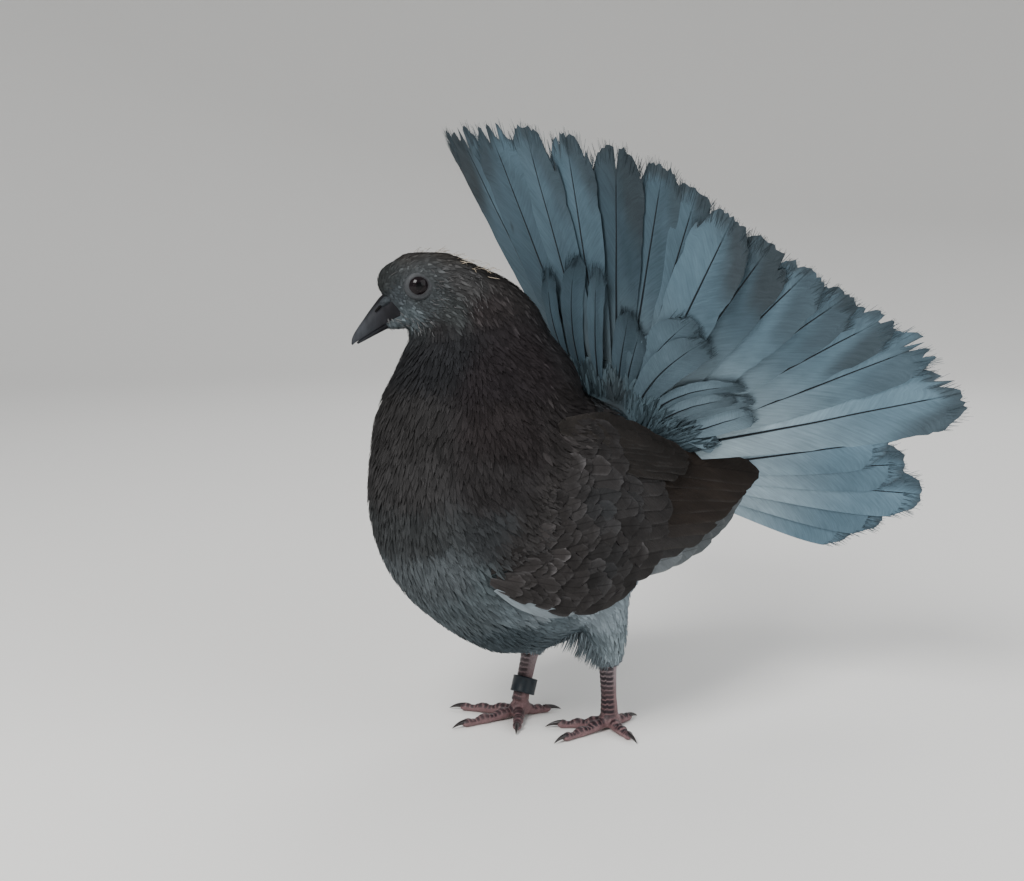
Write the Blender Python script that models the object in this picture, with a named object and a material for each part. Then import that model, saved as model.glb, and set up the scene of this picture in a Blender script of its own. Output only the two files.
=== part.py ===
"""Fantail pigeon: a young dark bird that stands with its tail spread, life size.

Lengths are in millimetres in the bird's own frame: forward, left and up from
the floor point midway between its feet. place() turns them into metres.
"""
import math

import bmesh
import bpy
from mathutils import Vector

MM = 0.001
GAP = 0.3
UP = Vector((0.0, 0.0, 1.0))
FLAT_ANGLE = 0.6

# Body, neck and head as level slices: height, middle forward, middle left,
# half length, half width, turn to the bird's right in degrees, and how much
# wider the slice is in front than behind.
BODY_SLICES = [
    (36.5, 24.0, 0.0, 0.0, 0.0, 0.0, 0.0),
    (38.0, 24.0, 0.0, 14.0, 9.0, 0.0, 0.0),
    (42.0, 23.0, 0.0, 24.0, 17.0, 0.0, 0.0),
    (48.0, 22.0, 0.0, 35.0, 25.0, 0.0, 0.05),
    (55.0, 20.5, 0.0, 45.5, 32.0, 0.0, 0.08),
    (64.0, 19.5, 0.0, 56.5, 38.0, 0.0, 0.10),
    (76.0, 21.0, 0.0, 64.0, 42.5, 0.0, 0.12),
    (90.0, 23.7, 0.0, 67.0, 44.6, 0.0, 0.13),
    (104.0, 25.2, 0.0, 68.0, 44.6, 0.0, 0.15),
    (116.0, 24.8, 0.0, 67.5, 43.2, 0.0, 0.22),
    (125.0, 24.2, 0.0, 66.5, 41.2, 0.0, 0.30),
    (131.0, 26.0, 0.0, 63.5, 40.0, 0.0, 0.34),
    (136.0, 30.5, 0.0, 58.0, 38.5, 1.0, 0.30),
    (140.0, 38.5, 0.0, 49.0, 37.5, 3.0, 0.18),
    (145.0, 44.0, 0.0, 42.5, 36.5, 5.0, 0.06),
    (150.0, 43.9, 0.0, 40.4, 34.0, 8.0, 0.0),
    (155.0, 43.5, 0.0, 38.0, 31.0, 11.0, 0.0),
    (160.0, 43.7, 0.0, 35.2, 27.5, 15.0, 0.0),
    (165.0, 44.6, -0.6, 31.8, 23.5, 19.0, 0.0),
    (170.0, 45.5, -1.3, 28.8, 20.5, 23.0, 0.0),
    (175.0, 47.7, -2.0, 28.4, 18.6, 27.0, 0.0),
    (180.0, 51.8, -2.8, 29.8, 16.8, 29.0, 0.0),
    (185.0, 55.6, -3.7, 29.2, 15.4, 29.0, 0.0),
    (190.0, 59.4, -4.5, 27.2, 14.4, 29.0, 0.0),
    (194.0, 62.6, -5.1, 23.4, 13.2, 29.0, 0.0),
    (198.0, 66.2, -5.8, 17.0, 11.3, 29.0, 0.0),
    (201.0, 67.7, -6.0, 11.8, 8.8, 29.0, 0.0),
    (203.2, 68.4, -6.0, 6.6, 5.4, 29.0, 0.0),
    (204.4, 68.7, -6.0, 0.0, 0.0, 29.0, 0.0),
]
BODY_SIDES = 26
BODY_STEPS = 2

# Cuts that part the torso from the neck, and the neck from the head.
NECK_BASE = (45.0, 0.0, 137.0)
NECK_BASE_TILT = 12.0
HEAD_BASE = (53.0, -3.0, 181.0)
HEAD_BASE_TILT = 22.0

# The head's frame: forward along the turned bill, left, up, from mid skull.
HEAD_ORIGIN = (59.4, -4.5, 190.4)
HEAD_TURN = 29.0

EYE_FORWARD = 12.9
EYE_SIDE = 9.4
EYE_RADIUS = 5.0
LID_SIDE = 12.3
LID_RADIUS = 4.3
LID_THICK = 0.9
LID_STEPS = 16
LID_SLOPE = 0.12

# Bill stations in the head's frame: top forward, top up, bottom forward,
# bottom up, half width. The last entry is the tip.
UPPER_BILL = [
    (19.0, -0.6, 13.5, -10.2, 5.8),
    (25.6, -3.8, 18.6, -12.0, 4.9),
    (29.2, -7.8, 23.0, -14.2, 4.0),
    (33.0, -13.0, 28.6, -17.5, 3.1),
    (36.2, -17.6, 33.6, -20.6, 2.2),
    (37.8, -20.6, 36.4, -22.4, 1.3),
]
UPPER_TIP = (38.2, -23.9)
LOWER_BILL = [
    (13.0, -9.4, 9.5, -18.0, 5.0),
    (18.8, -11.6, 16.2, -17.0, 4.4),
    (23.4, -13.9, 21.4, -18.0, 3.6),
    (28.9, -17.2, 27.2, -20.4, 2.6),
    (33.8, -20.3, 32.4, -22.6, 1.7),
]
LOWER_TIP = (35.9, -23.3)
BILL_SIDES = 12
CERE_AT = (25.0, -6.4)
CERE_SIDE = 2.5
CERE_RADII = (3.4, 2.2, 2.4)
NOSTRIL_AT = (28.0, -9.4)
NOSTRIL_OUT = 1.0
NOSTRIL_RADII = (2.0, 0.8, 0.5)

# Wing: stations along it, each with its height range, how far out its middle
# lies, and how far its top and bottom edges draw in.
WING_STATIONS = [
    (69.5, 78.5, 88.0, 36.0, 1.0, 0.5),
    (66.0, 76.0, 100.0, 38.0, 3.0, 1.0),
    (60.0, 73.0, 112.0, 42.0, 6.0, 2.0),
    (52.0, 69.0, 124.0, 47.0, 9.0, 3.0),
    (41.0, 65.4, 134.0, 51.5, 12.0, 4.0),
    (30.0, 65.0, 139.5, 53.5, 13.5, 5.0),
    (18.0, 66.5, 139.8, 54.0, 14.5, 6.0),
    (6.0, 69.0, 137.0, 53.0, 15.0, 6.5),
    (-7.0, 70.3, 132.0, 51.5, 14.5, 6.0),
    (-20.0, 71.8, 126.5, 49.5, 13.0, 5.0),
    (-34.0, 73.2, 122.0, 46.8, 10.0, 4.0),
    (-48.0, 75.5, 119.0, 43.8, 6.5, 3.0),
    (-58.0, 79.0, 117.5, 41.7, 5.0, 2.4),
    (-68.0, 88.0, 114.5, 39.6, 3.5, 1.6),
    (-76.0, 96.0, 111.0, 38.0, 2.0, 0.8),
    (-84.0, 102.0, 106.0, 36.4, 0.6, 0.4),
]
WING_MIDDLE = 0.4
WING_PROUD = 2.0

# The wing's core under its feathers: station, depth below the wing's face,
# thickness, and the lowest and highest share of the height that it takes.
WING_CORE = [
    (69.0, 0.0, 3.0, 0.0, 1.0),
    (65.0, 0.0, 5.0, 0.0, 1.0),
    (57.0, 0.0, 8.0, 0.0, 1.0),
    (48.0, 0.0, 9.0, 0.0, 1.0),
    (38.0, 0.0, 9.0, 0.0, 1.0),
    (30.0, 0.3, 9.0, 0.0, 1.0),
    (22.0, 1.2, 8.0, 0.02, 0.99),
    (12.0, 2.9, 7.0, 0.05, 0.97),
    (0.0, 3.8, 5.6, 0.08, 0.95),
    (-9.0, 4.8, 4.2, 0.10, 0.92),
    (-16.0, 5.6, 2.4, 0.14, 0.86),
]
WING_CORE_ACROSS = 8
WING_CORE_END = (-22.0, 97.0, 7.0)

# Tiers of wing feathers: how deep each tier lies along the wing, the spacing
# that its tilt allows for, its half width, the depth from one feather to the
# next, and its feathers from the lowest up, each as root and tip, both forward
# and up.
WING_TIERS = {
    "primary": ([(25.0, 3.6), (10.0, 4.8), (-6.0, 5.3), (-20.0, 4.7), (-40.0, 3.5), (-60.0, 3.0),
                 (-84.0, 2.8)], 0.0, 6.2, 0.9, [
        ((24.0, 72.0), (-16.0, 75.5)), ((18.0, 74.5), (-36.0, 76.0)),
        ((10.0, 77.5), (-53.0, 77.5)), ((2.0, 81.0), (-66.0, 83.0)),
        ((-4.0, 85.0), (-76.0, 92.5))]),
    "secondary": ([(14.0, 4.6), (4.0, 4.0), (-12.0, 3.1), (-30.0, 2.0), (-50.0, 1.3),
                   (-84.0, 0.9)], 5.8, 6.4, 0.0, [
        ((12.0, 74.0), (-21.0, 77.5)), ((10.0, 81.5), (-38.0, 80.0)),
        ((8.0, 89.0), (-52.0, 84.5)), ((6.0, 96.5), (-62.0, 90.0)),
        ((4.0, 104.0), (-70.0, 95.5)), ((2.0, 111.5), (-77.5, 100.5)),
        ((0.0, 119.5), (-84.0, 105.0))]),
    "covert": ([(32.0, 2.4), (24.0, 2.4), (12.0, 1.4), (0.0, 0.7), (-12.0, 0.2), (-34.0, 0.2)],
               6.8, 6.8, 0.0, [
        ((26.0, 73.5), (-6.0, 76.0)), ((26.0, 82.0), (-10.0, 84.0)),
        ((26.0, 90.5), (-12.0, 92.0)), ((26.0, 99.0), (-12.0, 100.0)),
        ((25.0, 107.5), (-11.0, 107.5)), ((24.0, 116.5), (-10.0, 115.0)),
        ((20.0, 126.5), (-32.0, 119.5)), ((32.0, 136.0), (-13.0, 130.0))]),
}
WING_VANE = ((0.0, 0.5), (0.45, 0.9), (0.85, 1.0), (1.0, 0.5))
WING_VANE_CURVE = 0.2

# Tail: its feathers radiate from one centre over a cone about an axis that
# points up and back. Rows give the turn about that axis, the cone's half
# angle there, and the reach of the feathers.
TAIL_CENTRE = (-30.0, 0.0, 112.0)
TAIL_AXIS_RISE = 56.6
# Steps in degrees that give the cone's slope and its face's direction.
TURN_STEP = 4.0
ANGLE_STEP = 0.5
TAIL_FAN = [
    (-122.0, 40.0, 138.0),
    (-90.0, 42.0, 146.0),
    (-60.0, 45.5, 150.0),
    (-32.0, 51.5, 154.0),
    (-18.0, 58.0, 158.0),
    (3.0, 58.5, 155.0),
    (26.0, 58.5, 151.0),
    (38.0, 60.0, 149.0),
    (48.0, 64.0, 150.0),
    (58.0, 65.5, 150.0),
    (70.0, 66.8, 150.0),
    (78.0, 67.0, 153.0),
    (86.0, 67.8, 156.0),
    (94.0, 70.0, 156.5),
    (106.0, 61.0, 138.0),
    (120.0, 53.0, 132.0),
]
TAIL_TURNS = (-120, -109, -98, -88, -78, -68, -58, -48, -39, -30, -21, -12, -3, 6, 15, 25, 34,
              41, 48, 55, 62, 69, 76, 84, 94, 106, 118)
TAIL_ROOT = 12.0
TAIL_WIDTHS = [(0.0, 2.2), (0.3, 7.0), (0.75, 12.6), (0.94, 11.2), (1.0, 5.2)]
TAIL_CLOSEST = 6.0
TAIL_SWEEP = 0.25
# The left side's last feather turns its face forward and is broader.
TAIL_LAST = 94
TAIL_LAST_SWEEP = 0.32
TAIL_LAST_WIDER = 1.25
VANE_THICK = 0.55
VANE_GAP = 0.85
TAIL_CORE_REACHES = (6.0, 24.0, 40.0, 54.0)
TAIL_CORE_THICKS = (7.5, 6.0, 3.6, 0.9)
TAIL_SPOKES = 18
TAIL_HEAD = (-44.0, 0.0, 107.0)
TAIL_HEAD_RADII = (17.0, 20.0, 13.0)

# Tail coverts: the turns of the first and last, their number, where they
# start, their reach, their lift off the fan and their half width.
TAIL_COVERTS = {
    "upper": (-96.0, 84.0, 10, 34.0, 86.0, 3.0, 11.5),
}
COVERT_WIDTHS = [(0.0, 0.5), (0.45, 0.9), (0.82, 1.0), (1.0, 0.45)]
COVERT_RAGGED = 0.09
COVERT_WAVE = 5.1
COVERT_CLOSEST = 0.8

# The outermost tail feathers fold back beside the rump, one over another:
# how far they turn out from straight back, and each one's rise and reach.
FOLDED_OUT = 26.0
FOLDED_ROOT = (-38.0, 8.0, 106.0)
FOLDED = [(5.0, 117.0), (-0.5, 126.0), (-6.5, 136.5), (-11.5, 120.0), (-16.0, 107.0)]
FOLDED_WIDTH = 11.5
FOLDED_STEP = 1.1

# Legs: each slice of a feathered thigh is height, forward, left, half length
# and half width for a leg whose side is +1 on the left and -1 on the right.
THIGHS = {
    "left": [
        (74.0, -2.0, 24.0, 22.0, 14.0),
        (60.0, -4.0, 24.0, 20.0, 14.0),
        (50.0, -4.5, 22.5, 16.5, 12.5),
        (41.0, -5.0, 21.0, 12.5, 10.5),
        (33.0, -6.0, 20.2, 9.0, 8.0),
        (27.5, -6.6, 19.9, 6.0, 5.6),
        (25.0, -6.8, 19.8, 4.4, 4.2),
    ],
    "right": [
        (74.0, -4.0, -24.0, 20.0, 14.0),
        (60.0, -3.0, -23.0, 18.5, 14.0),
        (50.0, -1.5, -21.5, 15.5, 12.5),
        (41.0, 0.0, -20.4, 12.0, 10.5),
        (33.0, 1.2, -19.8, 8.4, 8.0),
        (28.0, 1.9, -19.5, 5.8, 5.6),
        (25.5, 2.2, -19.4, 4.4, 4.2),
    ],
}
THIGH_SIDES = 14
FOOT_JOINT = {"left": (-8.1, 19.6, 7.0), "right": (10.7, -17.3, 7.0)}
SHANK_RADII = (3.3, 2.9, 2.9, 3.5)
SHANK_SIDES = 14
SHANK_SUNK = 1.5
TOE_TIPS = {
    "left": [(24.4, 20.7), (12.9, 2.0), (-2.0, 42.8), (-28.0, 16.5)],
    "right": [(45.1, -21.6), (29.2, 1.9), (28.3, -45.0), (-8.7, -12.0)],
}
TOE_NAMES = ("middle", "inner", "outer", "hind")
TOE_THICK = 2.7
TOE_END_THICK = 1.7
TOE_SIDES = 8
TOE_STEPS = 6
# A toe's height at its root, its swollen joints, and its rounded end.
TOE_ROOT_HEIGHT = 3.4
TOE_LEVEL_BY = 2.2
TOE_SUNK = 0.25
TOE_SWELL = 0.22
TOE_JOINTS = 6
TOE_ROUND = 1.1
TOE_ROUND_SUNK = 0.3
CLAW_LENGTH = 7.0
CLAW_THICK = 1.15
CLAW_STEPS = 3
CLAW_SIDES = 6
CLAW_SUNK = 1.5
CLAW_TAPER = 0.72
# Heights along a claw: at its root, how it falls, and at its tip.
CLAW_HEIGHT = 1.9
CLAW_FALL = 0.2
CLAW_BEND = 0.9
CLAW_TIP_HEIGHT = 0.35
FLOOR_BLOCK = 0.2
FOOT_HUB = (5.4, 4.6, 4.4)
HUB_DROP = 2.9
RING_RADIUS = 5.4
RING_HOLE = 4.3
RING_HEIGHT = 7.0
RING_ALONG = 0.62
RING_SHIFT = 0.9
RING_SIDES = 22

COLOURS = {
    "torso": (0.075, 0.08, 0.09, 0.75),
    "neck": (0.04, 0.036, 0.038, 0.7),
    "head": (0.042, 0.042, 0.045, 0.7),
    "bill": (0.05, 0.055, 0.065, 0.4),
    "eye": (0.012, 0.008, 0.008, 0.08),
    "wing": (0.055, 0.047, 0.046, 0.7),
    "tail": (0.22, 0.29, 0.33, 0.7),
    "thigh": (0.25, 0.3, 0.34, 0.85),
    "leg": (0.27, 0.13, 0.14, 0.5),
    "claw": (0.05, 0.035, 0.04, 0.35),
    "ring": (0.03, 0.05, 0.065, 0.35),
}


def place(forward, left, up):
    """Metres for a point of the bird's frame, which faces -Y with its left at +X."""
    return Vector((left, -forward, up)) * MM


def head_place(forward, left, up):
    """Metres for a point of the head's frame, which is turned to the bird's right."""
    turn = math.radians(HEAD_TURN)
    across = forward * math.cos(turn) + left * math.sin(turn)
    aside = left * math.cos(turn) - forward * math.sin(turn)
    return place(HEAD_ORIGIN[0] + across, HEAD_ORIGIN[1] + aside, HEAD_ORIGIN[2] + up)


def smooth(rows, key):
    """The row at key, on a smooth curve through rows sorted by their first value."""
    keys = [row[0] for row in rows]
    if keys[0] > keys[-1]:
        return smooth(rows[::-1], key)
    key = min(max(key, keys[0]), keys[-1])
    index = max(i for i in range(len(rows) - 1) if keys[i] <= key)
    span = keys[index + 1] - keys[index]
    at = (key - keys[index]) / span
    values = [key]
    for column in range(1, len(rows[0])):
        low, high = rows[index][column], rows[index + 1][column]
        slopes = []
        for near in (index, index + 1):
            before, after = max(near - 1, 0), min(near + 1, len(rows) - 1)
            slopes.append((rows[after][column] - rows[before][column])
                          / (keys[after] - keys[before]))
        square, cube = at * at, at * at * at
        values.append(low * (2 * cube - 3 * square + 1) + high * (3 * square - 2 * cube)
                      + slopes[0] * span * (cube - 2 * square + at)
                      + slopes[1] * span * (cube - square))
    return values


def spread(rows, steps):
    """Keys that visit every row, with the given number of steps between rows."""
    keys = []
    for row, after in zip(rows, rows[1:]):
        keys += [row[0] + (after[0] - row[0]) * step / steps for step in range(steps)]
    return keys + [rows[-1][0]]


def material(name):
    """A Principled material in one of the bird's colours."""
    found = bpy.data.materials.get(name)
    if found:
        return found
    red, green, blue, roughness = COLOURS[name]
    found = bpy.data.materials.new(name)
    found.use_nodes = True
    shader = found.node_tree.nodes["Principled BSDF"]
    shader.inputs["Base Color"].default_value = (red, green, blue, 1.0)
    shader.inputs["Roughness"].default_value = roughness
    found.diffuse_color = (red, green, blue, 1.0)
    return found


def finish(name, mesh_data, colour, collection="fantail_pigeon"):
    """An object for a bmesh, facing out, in its collection and colour."""
    bmesh.ops.triangulate(mesh_data, faces=mesh_data.faces)
    bmesh.ops.recalc_face_normals(mesh_data, faces=mesh_data.faces)
    mesh = bpy.data.meshes.new(name)
    mesh_data.to_mesh(mesh)
    mesh_data.free()
    mesh.materials.append(material(colour))
    mesh.shade_smooth()
    mesh.set_sharp_from_angle(angle=math.radians(40.0))
    piece = bpy.data.objects.new(name, mesh)
    bpy.data.collections[collection].objects.link(piece)
    return piece


def loft(name, rings, colour, start=None, end=None, collection="fantail_pigeon"):
    """A closed skin over rings of points, ending in poles or in flat caps."""
    data = bmesh.new()
    rows = [[data.verts.new(point) for point in ring] for ring in rings]
    count = len(rows[0])
    for row, after in zip(rows, rows[1:]):
        for index in range(count):
            step = (index + 1) % count
            data.faces.new((row[index], row[step], after[step], after[index]))
    for row, pole in ((rows[0], start), (rows[-1], end)):
        if pole is None:
            data.faces.new(row)
            continue
        top = data.verts.new(pole)
        for index in range(count):
            data.faces.new((row[index], row[(index + 1) % count], top))
    return finish(name, data, colour, collection)


def ellipsoid(name, centre, radii, colour, sides=16, collection="fantail_pigeon"):
    """A closed ball with its own radii, from a UV sphere."""
    data = bmesh.new()
    bmesh.ops.create_uvsphere(data, u_segments=sides, v_segments=sides // 2 + 2, radius=1.0)
    for vertex in data.verts:
        vertex.co = Vector([vertex.co[axis] * radii[axis] * MM for axis in range(3)]) + centre
    return finish(name, data, colour, collection)


def tube(name, points, radii, colour, sides, flat=1.0, end=None, collection="fantail_pigeon"):
    """A tapered tube along points in metres, with flat as its height against its width."""
    rings = []
    for index, point in enumerate(points):
        before, after = points[max(index - 1, 0)], points[min(index + 1, len(points) - 1)]
        along = (after - before).normalized()
        side = along.cross(UP)
        side = side.normalized() if side.length > 0.05 else Vector((1.0, 0.0, 0.0))
        high = side.cross(along).normalized()
        ring = []
        for step in range(sides):
            angle = 2 * math.pi * (step + 0.5) / sides
            ring.append(point + (side * math.cos(angle) + high * math.sin(angle) * flat)
                        * radii[index] * MM)
        rings.append(ring)
    return loft(name, rings, colour, end=end, collection=collection)


def boolean(piece, other, operation, keep_other=False, solver="EXACT"):
    """Cut or join piece by another object, and keep only the largest closed surface."""
    modifier = piece.modifiers.new("cut", "BOOLEAN")
    modifier.operation = operation
    modifier.solver = solver
    if isinstance(other, bpy.types.Collection):
        modifier.operand_type = "COLLECTION"
        modifier.collection = other
    else:
        modifier.object = other
    apply_modifiers(piece)
    if not keep_other:
        drop(other)
    keep_largest(piece)
    return piece


def drop(other):
    """Remove an object, or all objects of a collection."""
    objects = list(other.objects) if isinstance(other, bpy.types.Collection) else [other]
    for item in objects:
        bpy.data.objects.remove(item)


def apply_modifiers(piece):
    """Replace the mesh of piece by its evaluated one."""
    graph = bpy.context.evaluated_depsgraph_get()
    mesh = bpy.data.meshes.new_from_object(piece.evaluated_get(graph))
    piece.modifiers.clear()
    piece.data = mesh


def keep_largest(piece):
    """Drop every closed surface of piece but the one that spans the most."""
    data = bmesh.new()
    data.from_mesh(piece.data)
    bmesh.ops.dissolve_degenerate(data, edges=data.edges, dist=1e-7)
    left = set(data.verts)
    shells = []
    while left:
        stack = [left.pop()]
        shell = set(stack)
        while stack:
            for edge in stack.pop().link_edges:
                for vertex in edge.verts:
                    if vertex not in shell:
                        shell.add(vertex)
                        stack.append(vertex)
        left -= shell
        shells.append(shell)

    def size(shell):
        spans = [[vertex.co[axis] for vertex in shell] for axis in range(3)]
        return sum(max(span) - min(span) for span in spans)

    shells.sort(key=size)
    for shell in shells[:-1]:
        bmesh.ops.delete(data, geom=list(shell), context="VERTS")
    bmesh.ops.dissolve_limit(data, angle_limit=math.radians(FLAT_ANGLE), verts=data.verts,
                             edges=data.edges)
    bmesh.ops.triangulate(data, faces=data.faces)
    data.to_mesh(piece.data)
    data.free()
    piece.data.shade_smooth()
    piece.data.set_sharp_from_angle(angle=math.radians(40.0))


def inflated(piece, distance=GAP):
    """A cutter: a copy of piece grown by a distance along its normals."""
    data = bmesh.new()
    data.from_mesh(piece.data)
    data.normal_update()
    for vertex in data.verts:
        vertex.co += vertex.normal * distance * MM
    return finish("grown_" + piece.name, data, piece.data.materials[0].name, "cutters")


def part_by_plane(piece, name, cuts, colour):
    """The share of piece that lies on the side of each cut that its normal points to."""
    data = bmesh.new()
    data.from_mesh(piece.data)
    for point, normal in cuts:
        geometry = list(data.verts) + list(data.edges) + list(data.faces)
        bmesh.ops.bisect_plane(data, geom=geometry, plane_co=point, plane_no=normal,
                               dist=1e-7, clear_inner=True)
        rim = [edge for edge in data.edges if edge.is_boundary]
        bmesh.ops.contextual_create(data, geom=rim)
    return finish(name, data, colour)


def body_ring(row):
    """One level slice of the body."""
    height, forward, left, length, width, turn, blunt = row
    turn = math.radians(turn)
    ring = []
    for step in range(BODY_SIDES):
        angle = 2 * math.pi * step / BODY_SIDES
        along = length * math.cos(angle)
        across = width * math.sin(angle) * (1 + blunt * math.cos(angle))
        ring.append(place(forward + along * math.cos(turn) + across * math.sin(turn),
                          left - along * math.sin(turn) + across * math.cos(turn), height))
    return ring


def build_body():
    """The torso, neck and head, lofted whole and parted by two thin cuts."""
    keys = spread(BODY_SLICES, BODY_STEPS)[1:-1]
    rings = [body_ring(smooth(BODY_SLICES, key)) for key in keys]
    low, high = BODY_SLICES[0], BODY_SLICES[-1]
    body = loft("body", rings, "torso", start=place(low[1], low[2], low[0]),
                end=place(high[1], high[2], high[0]), collection="cutters")
    neck_tilt, head_tilt = math.radians(NECK_BASE_TILT), math.radians(HEAD_BASE_TILT)
    neck_normal = place(math.sin(neck_tilt), 0.0, math.cos(neck_tilt)).normalized()
    turned = head_place(math.sin(head_tilt), 0.0, math.cos(head_tilt)) - head_place(0.0, 0.0, 0.0)
    head_normal = turned.normalized()
    half = GAP * 0.5 * MM
    neck_point, head_point = place(*NECK_BASE), place(*HEAD_BASE)
    torso = part_by_plane(body, "torso", [(neck_point - neck_normal * half, -neck_normal)], "torso")
    part_by_plane(body, "neck", [(neck_point + neck_normal * half, neck_normal),
                                 (head_point - head_normal * half, -head_normal)], "neck")
    head = part_by_plane(body, "head", [(head_point + head_normal * half, head_normal)], "head")
    return body, torso, head


def build_eyes(head):
    """Eyeballs in their sockets, with a lid ring round each."""
    for side, name in ((1, "left"), (-1, "right")):
        centre = head_place(EYE_FORWARD, side * EYE_SIDE, 0.0)
        eye = ellipsoid("eye_" + name, centre, (EYE_RADIUS,) * 3, "eye", sides=16)
        ring = []
        for step in range(LID_STEPS):
            angle = 2 * math.pi * step / LID_STEPS
            out, up = LID_RADIUS * math.cos(angle), LID_RADIUS * math.sin(angle)
            ring.append((EYE_FORWARD + out, side * (LID_SIDE - LID_SLOPE * out), up))
        lid = ring_tube("lid_" + name, [head_place(*point) for point in ring], LID_THICK, "head")
        boolean(head, lid, "UNION")
        boolean(head, inflated(eye), "DIFFERENCE")


def ring_tube(name, points, radius, colour, sides=6):
    """A closed ring of tube through points in metres."""
    data = bmesh.new()
    centre = sum(points, Vector()) / len(points)
    rows = []
    for index, point in enumerate(points):
        along = (points[(index + 1) % len(points)] - points[index - 1]).normalized()
        out = (point - centre).normalized()
        high = along.cross(out).normalized()
        row = []
        for step in range(sides):
            angle = 2 * math.pi * step / sides
            row.append(data.verts.new(point + (out * math.cos(angle) + high * math.sin(angle))
                                      * radius * MM))
        rows.append(row)
    for index, row in enumerate(rows):
        after = rows[(index + 1) % len(rows)]
        for step in range(sides):
            turn = (step + 1) % sides
            data.faces.new((row[step], row[turn], after[turn], after[step]))
    return finish(name, data, colour)


def bill_half(name, stations, tip):
    """One half of the bill, from inside the head out to its tip."""
    rings = []
    for top_forward, top_up, low_forward, low_up, width in stations:
        middle = ((top_forward + low_forward) / 2, (top_up + low_up) / 2)
        half = ((top_forward - low_forward) / 2, (top_up - low_up) / 2)
        ring = []
        for step in range(BILL_SIDES):
            angle = 2 * math.pi * step / BILL_SIDES
            rise = math.sin(angle)
            ring.append(head_place(middle[0] + half[0] * rise, width * math.cos(angle),
                                   middle[1] + half[1] * rise))
        rings.append(ring)
    return loft(name, rings, "bill", end=head_place(tip[0], 0.0, tip[1]))


def build_bill(head):
    """Upper and lower bill, with the cere and nostrils at the base of the upper."""
    upper = bill_half("bill_upper", UPPER_BILL, UPPER_TIP)
    lower = bill_half("bill_lower", LOWER_BILL, LOWER_TIP)
    for side in (1, -1):
        cere = ellipsoid("cere", head_place(CERE_AT[0], side * CERE_SIDE, CERE_AT[1]),
                         CERE_RADII[1::-1] + CERE_RADII[2:], "bill", sides=12)
        boolean(upper, cere, "UNION")
        spot = head_place(NOSTRIL_AT[0], side * (CERE_SIDE + NOSTRIL_OUT), NOSTRIL_AT[1])
        slit = ellipsoid("nostril", spot, NOSTRIL_RADII[1::-1] + NOSTRIL_RADII[2:], "bill",
                         sides=8, collection="cutters")
        boolean(upper, slit, "DIFFERENCE")
    grown = inflated(head)
    boolean(upper, grown, "DIFFERENCE", keep_other=True)
    boolean(lower, grown, "DIFFERENCE")
    boolean(lower, inflated(upper), "DIFFERENCE")


def vane(name, stations, colour):
    """A thin feather of three-point stations: face points, then matching back points."""
    data = bmesh.new()
    faces = [[data.verts.new(point) for point in face] for face, _ in stations]
    backs = [[data.verts.new(point) for point in back] for _, back in stations]
    for index in range(len(stations) - 1):
        for near in (0, 1):
            far = near + 1
            for rows, flip in ((faces, False), (backs, True)):
                low, high = rows[index], rows[index + 1]
                first = (low[near], low[far], high[far])
                second = (low[near], high[far], high[near])
                data.faces.new(first[::-1] if flip else first)
                data.faces.new(second[::-1] if flip else second)
        for edge in (0, 2):
            data.faces.new((faces[index][edge], faces[index + 1][edge], backs[index + 1][edge]))
            data.faces.new((faces[index][edge], backs[index + 1][edge], backs[index][edge]))
    for end in (0, -1):
        for near in (0, 1):
            data.faces.new((faces[end][near], faces[end][near + 1], backs[end][near + 1]))
            data.faces.new((faces[end][near], backs[end][near + 1], backs[end][near]))
    return finish(name, data, colour)


def fuse(core, vanes):
    """Join vanes to their core with one union."""
    group = bpy.data.collections.new("vanes")
    bpy.context.scene.collection.children.link(group)
    for piece in vanes:
        bpy.data.collections["fantail_pigeon"].objects.unlink(piece)
        group.objects.link(piece)
    boolean(core, group, "UNION", solver="MANIFOLD")
    bpy.data.collections.remove(group)


def torso_side(forward, height):
    """How far the torso's side lies from the middle plane."""
    _, middle, _, length, width, _, blunt = smooth(BODY_SLICES, height)
    along = (forward - middle) / max(length, 1.0)
    if abs(along) >= 1.0:
        return 0.0
    return width * math.sqrt(1 - along * along) * (1 + blunt * along)


def wing_point(side, forward, height, depth):
    """A point of a wing, at a depth in mm below its face, which stands clear of the torso."""
    _, low, high, out, top_in, low_in = smooth(WING_STATIONS, forward)
    rise = (height - low) / (high - low)
    upper = max(0.0, rise - WING_MIDDLE) / (1 - WING_MIDDLE)
    lower = max(0.0, WING_MIDDLE - rise) / WING_MIDDLE
    across = out - top_in * upper ** 2 - low_in * lower ** 2
    across = max(across, torso_side(forward, height) + WING_PROUD)
    return place(forward, side * (across - depth), height)


def wing_feather(name, side, root, tip, half_width, depths, tilt):
    """One wing feather, from its root in the core to its tip, its lower edge outward."""
    span = Vector(tip) - Vector(root)
    upward = Vector((span.y, -span.x)).normalized()
    stations = []
    for share, width in WING_VANE:
        face, back = [], []
        for edge in (-1, 0, 1):
            offset = edge * half_width * width
            spot = Vector(root) + span * share + upward * offset
            depth = smooth(depths, spot.x)[1] + tilt * offset + abs(edge) * WING_VANE_CURVE
            face.append(wing_point(side, spot.x, spot.y, depth))
            back.append(wing_point(side, spot.x, spot.y, depth + VANE_THICK))
        stations.append((face, back))
    return vane(name, stations, "wing")


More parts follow.
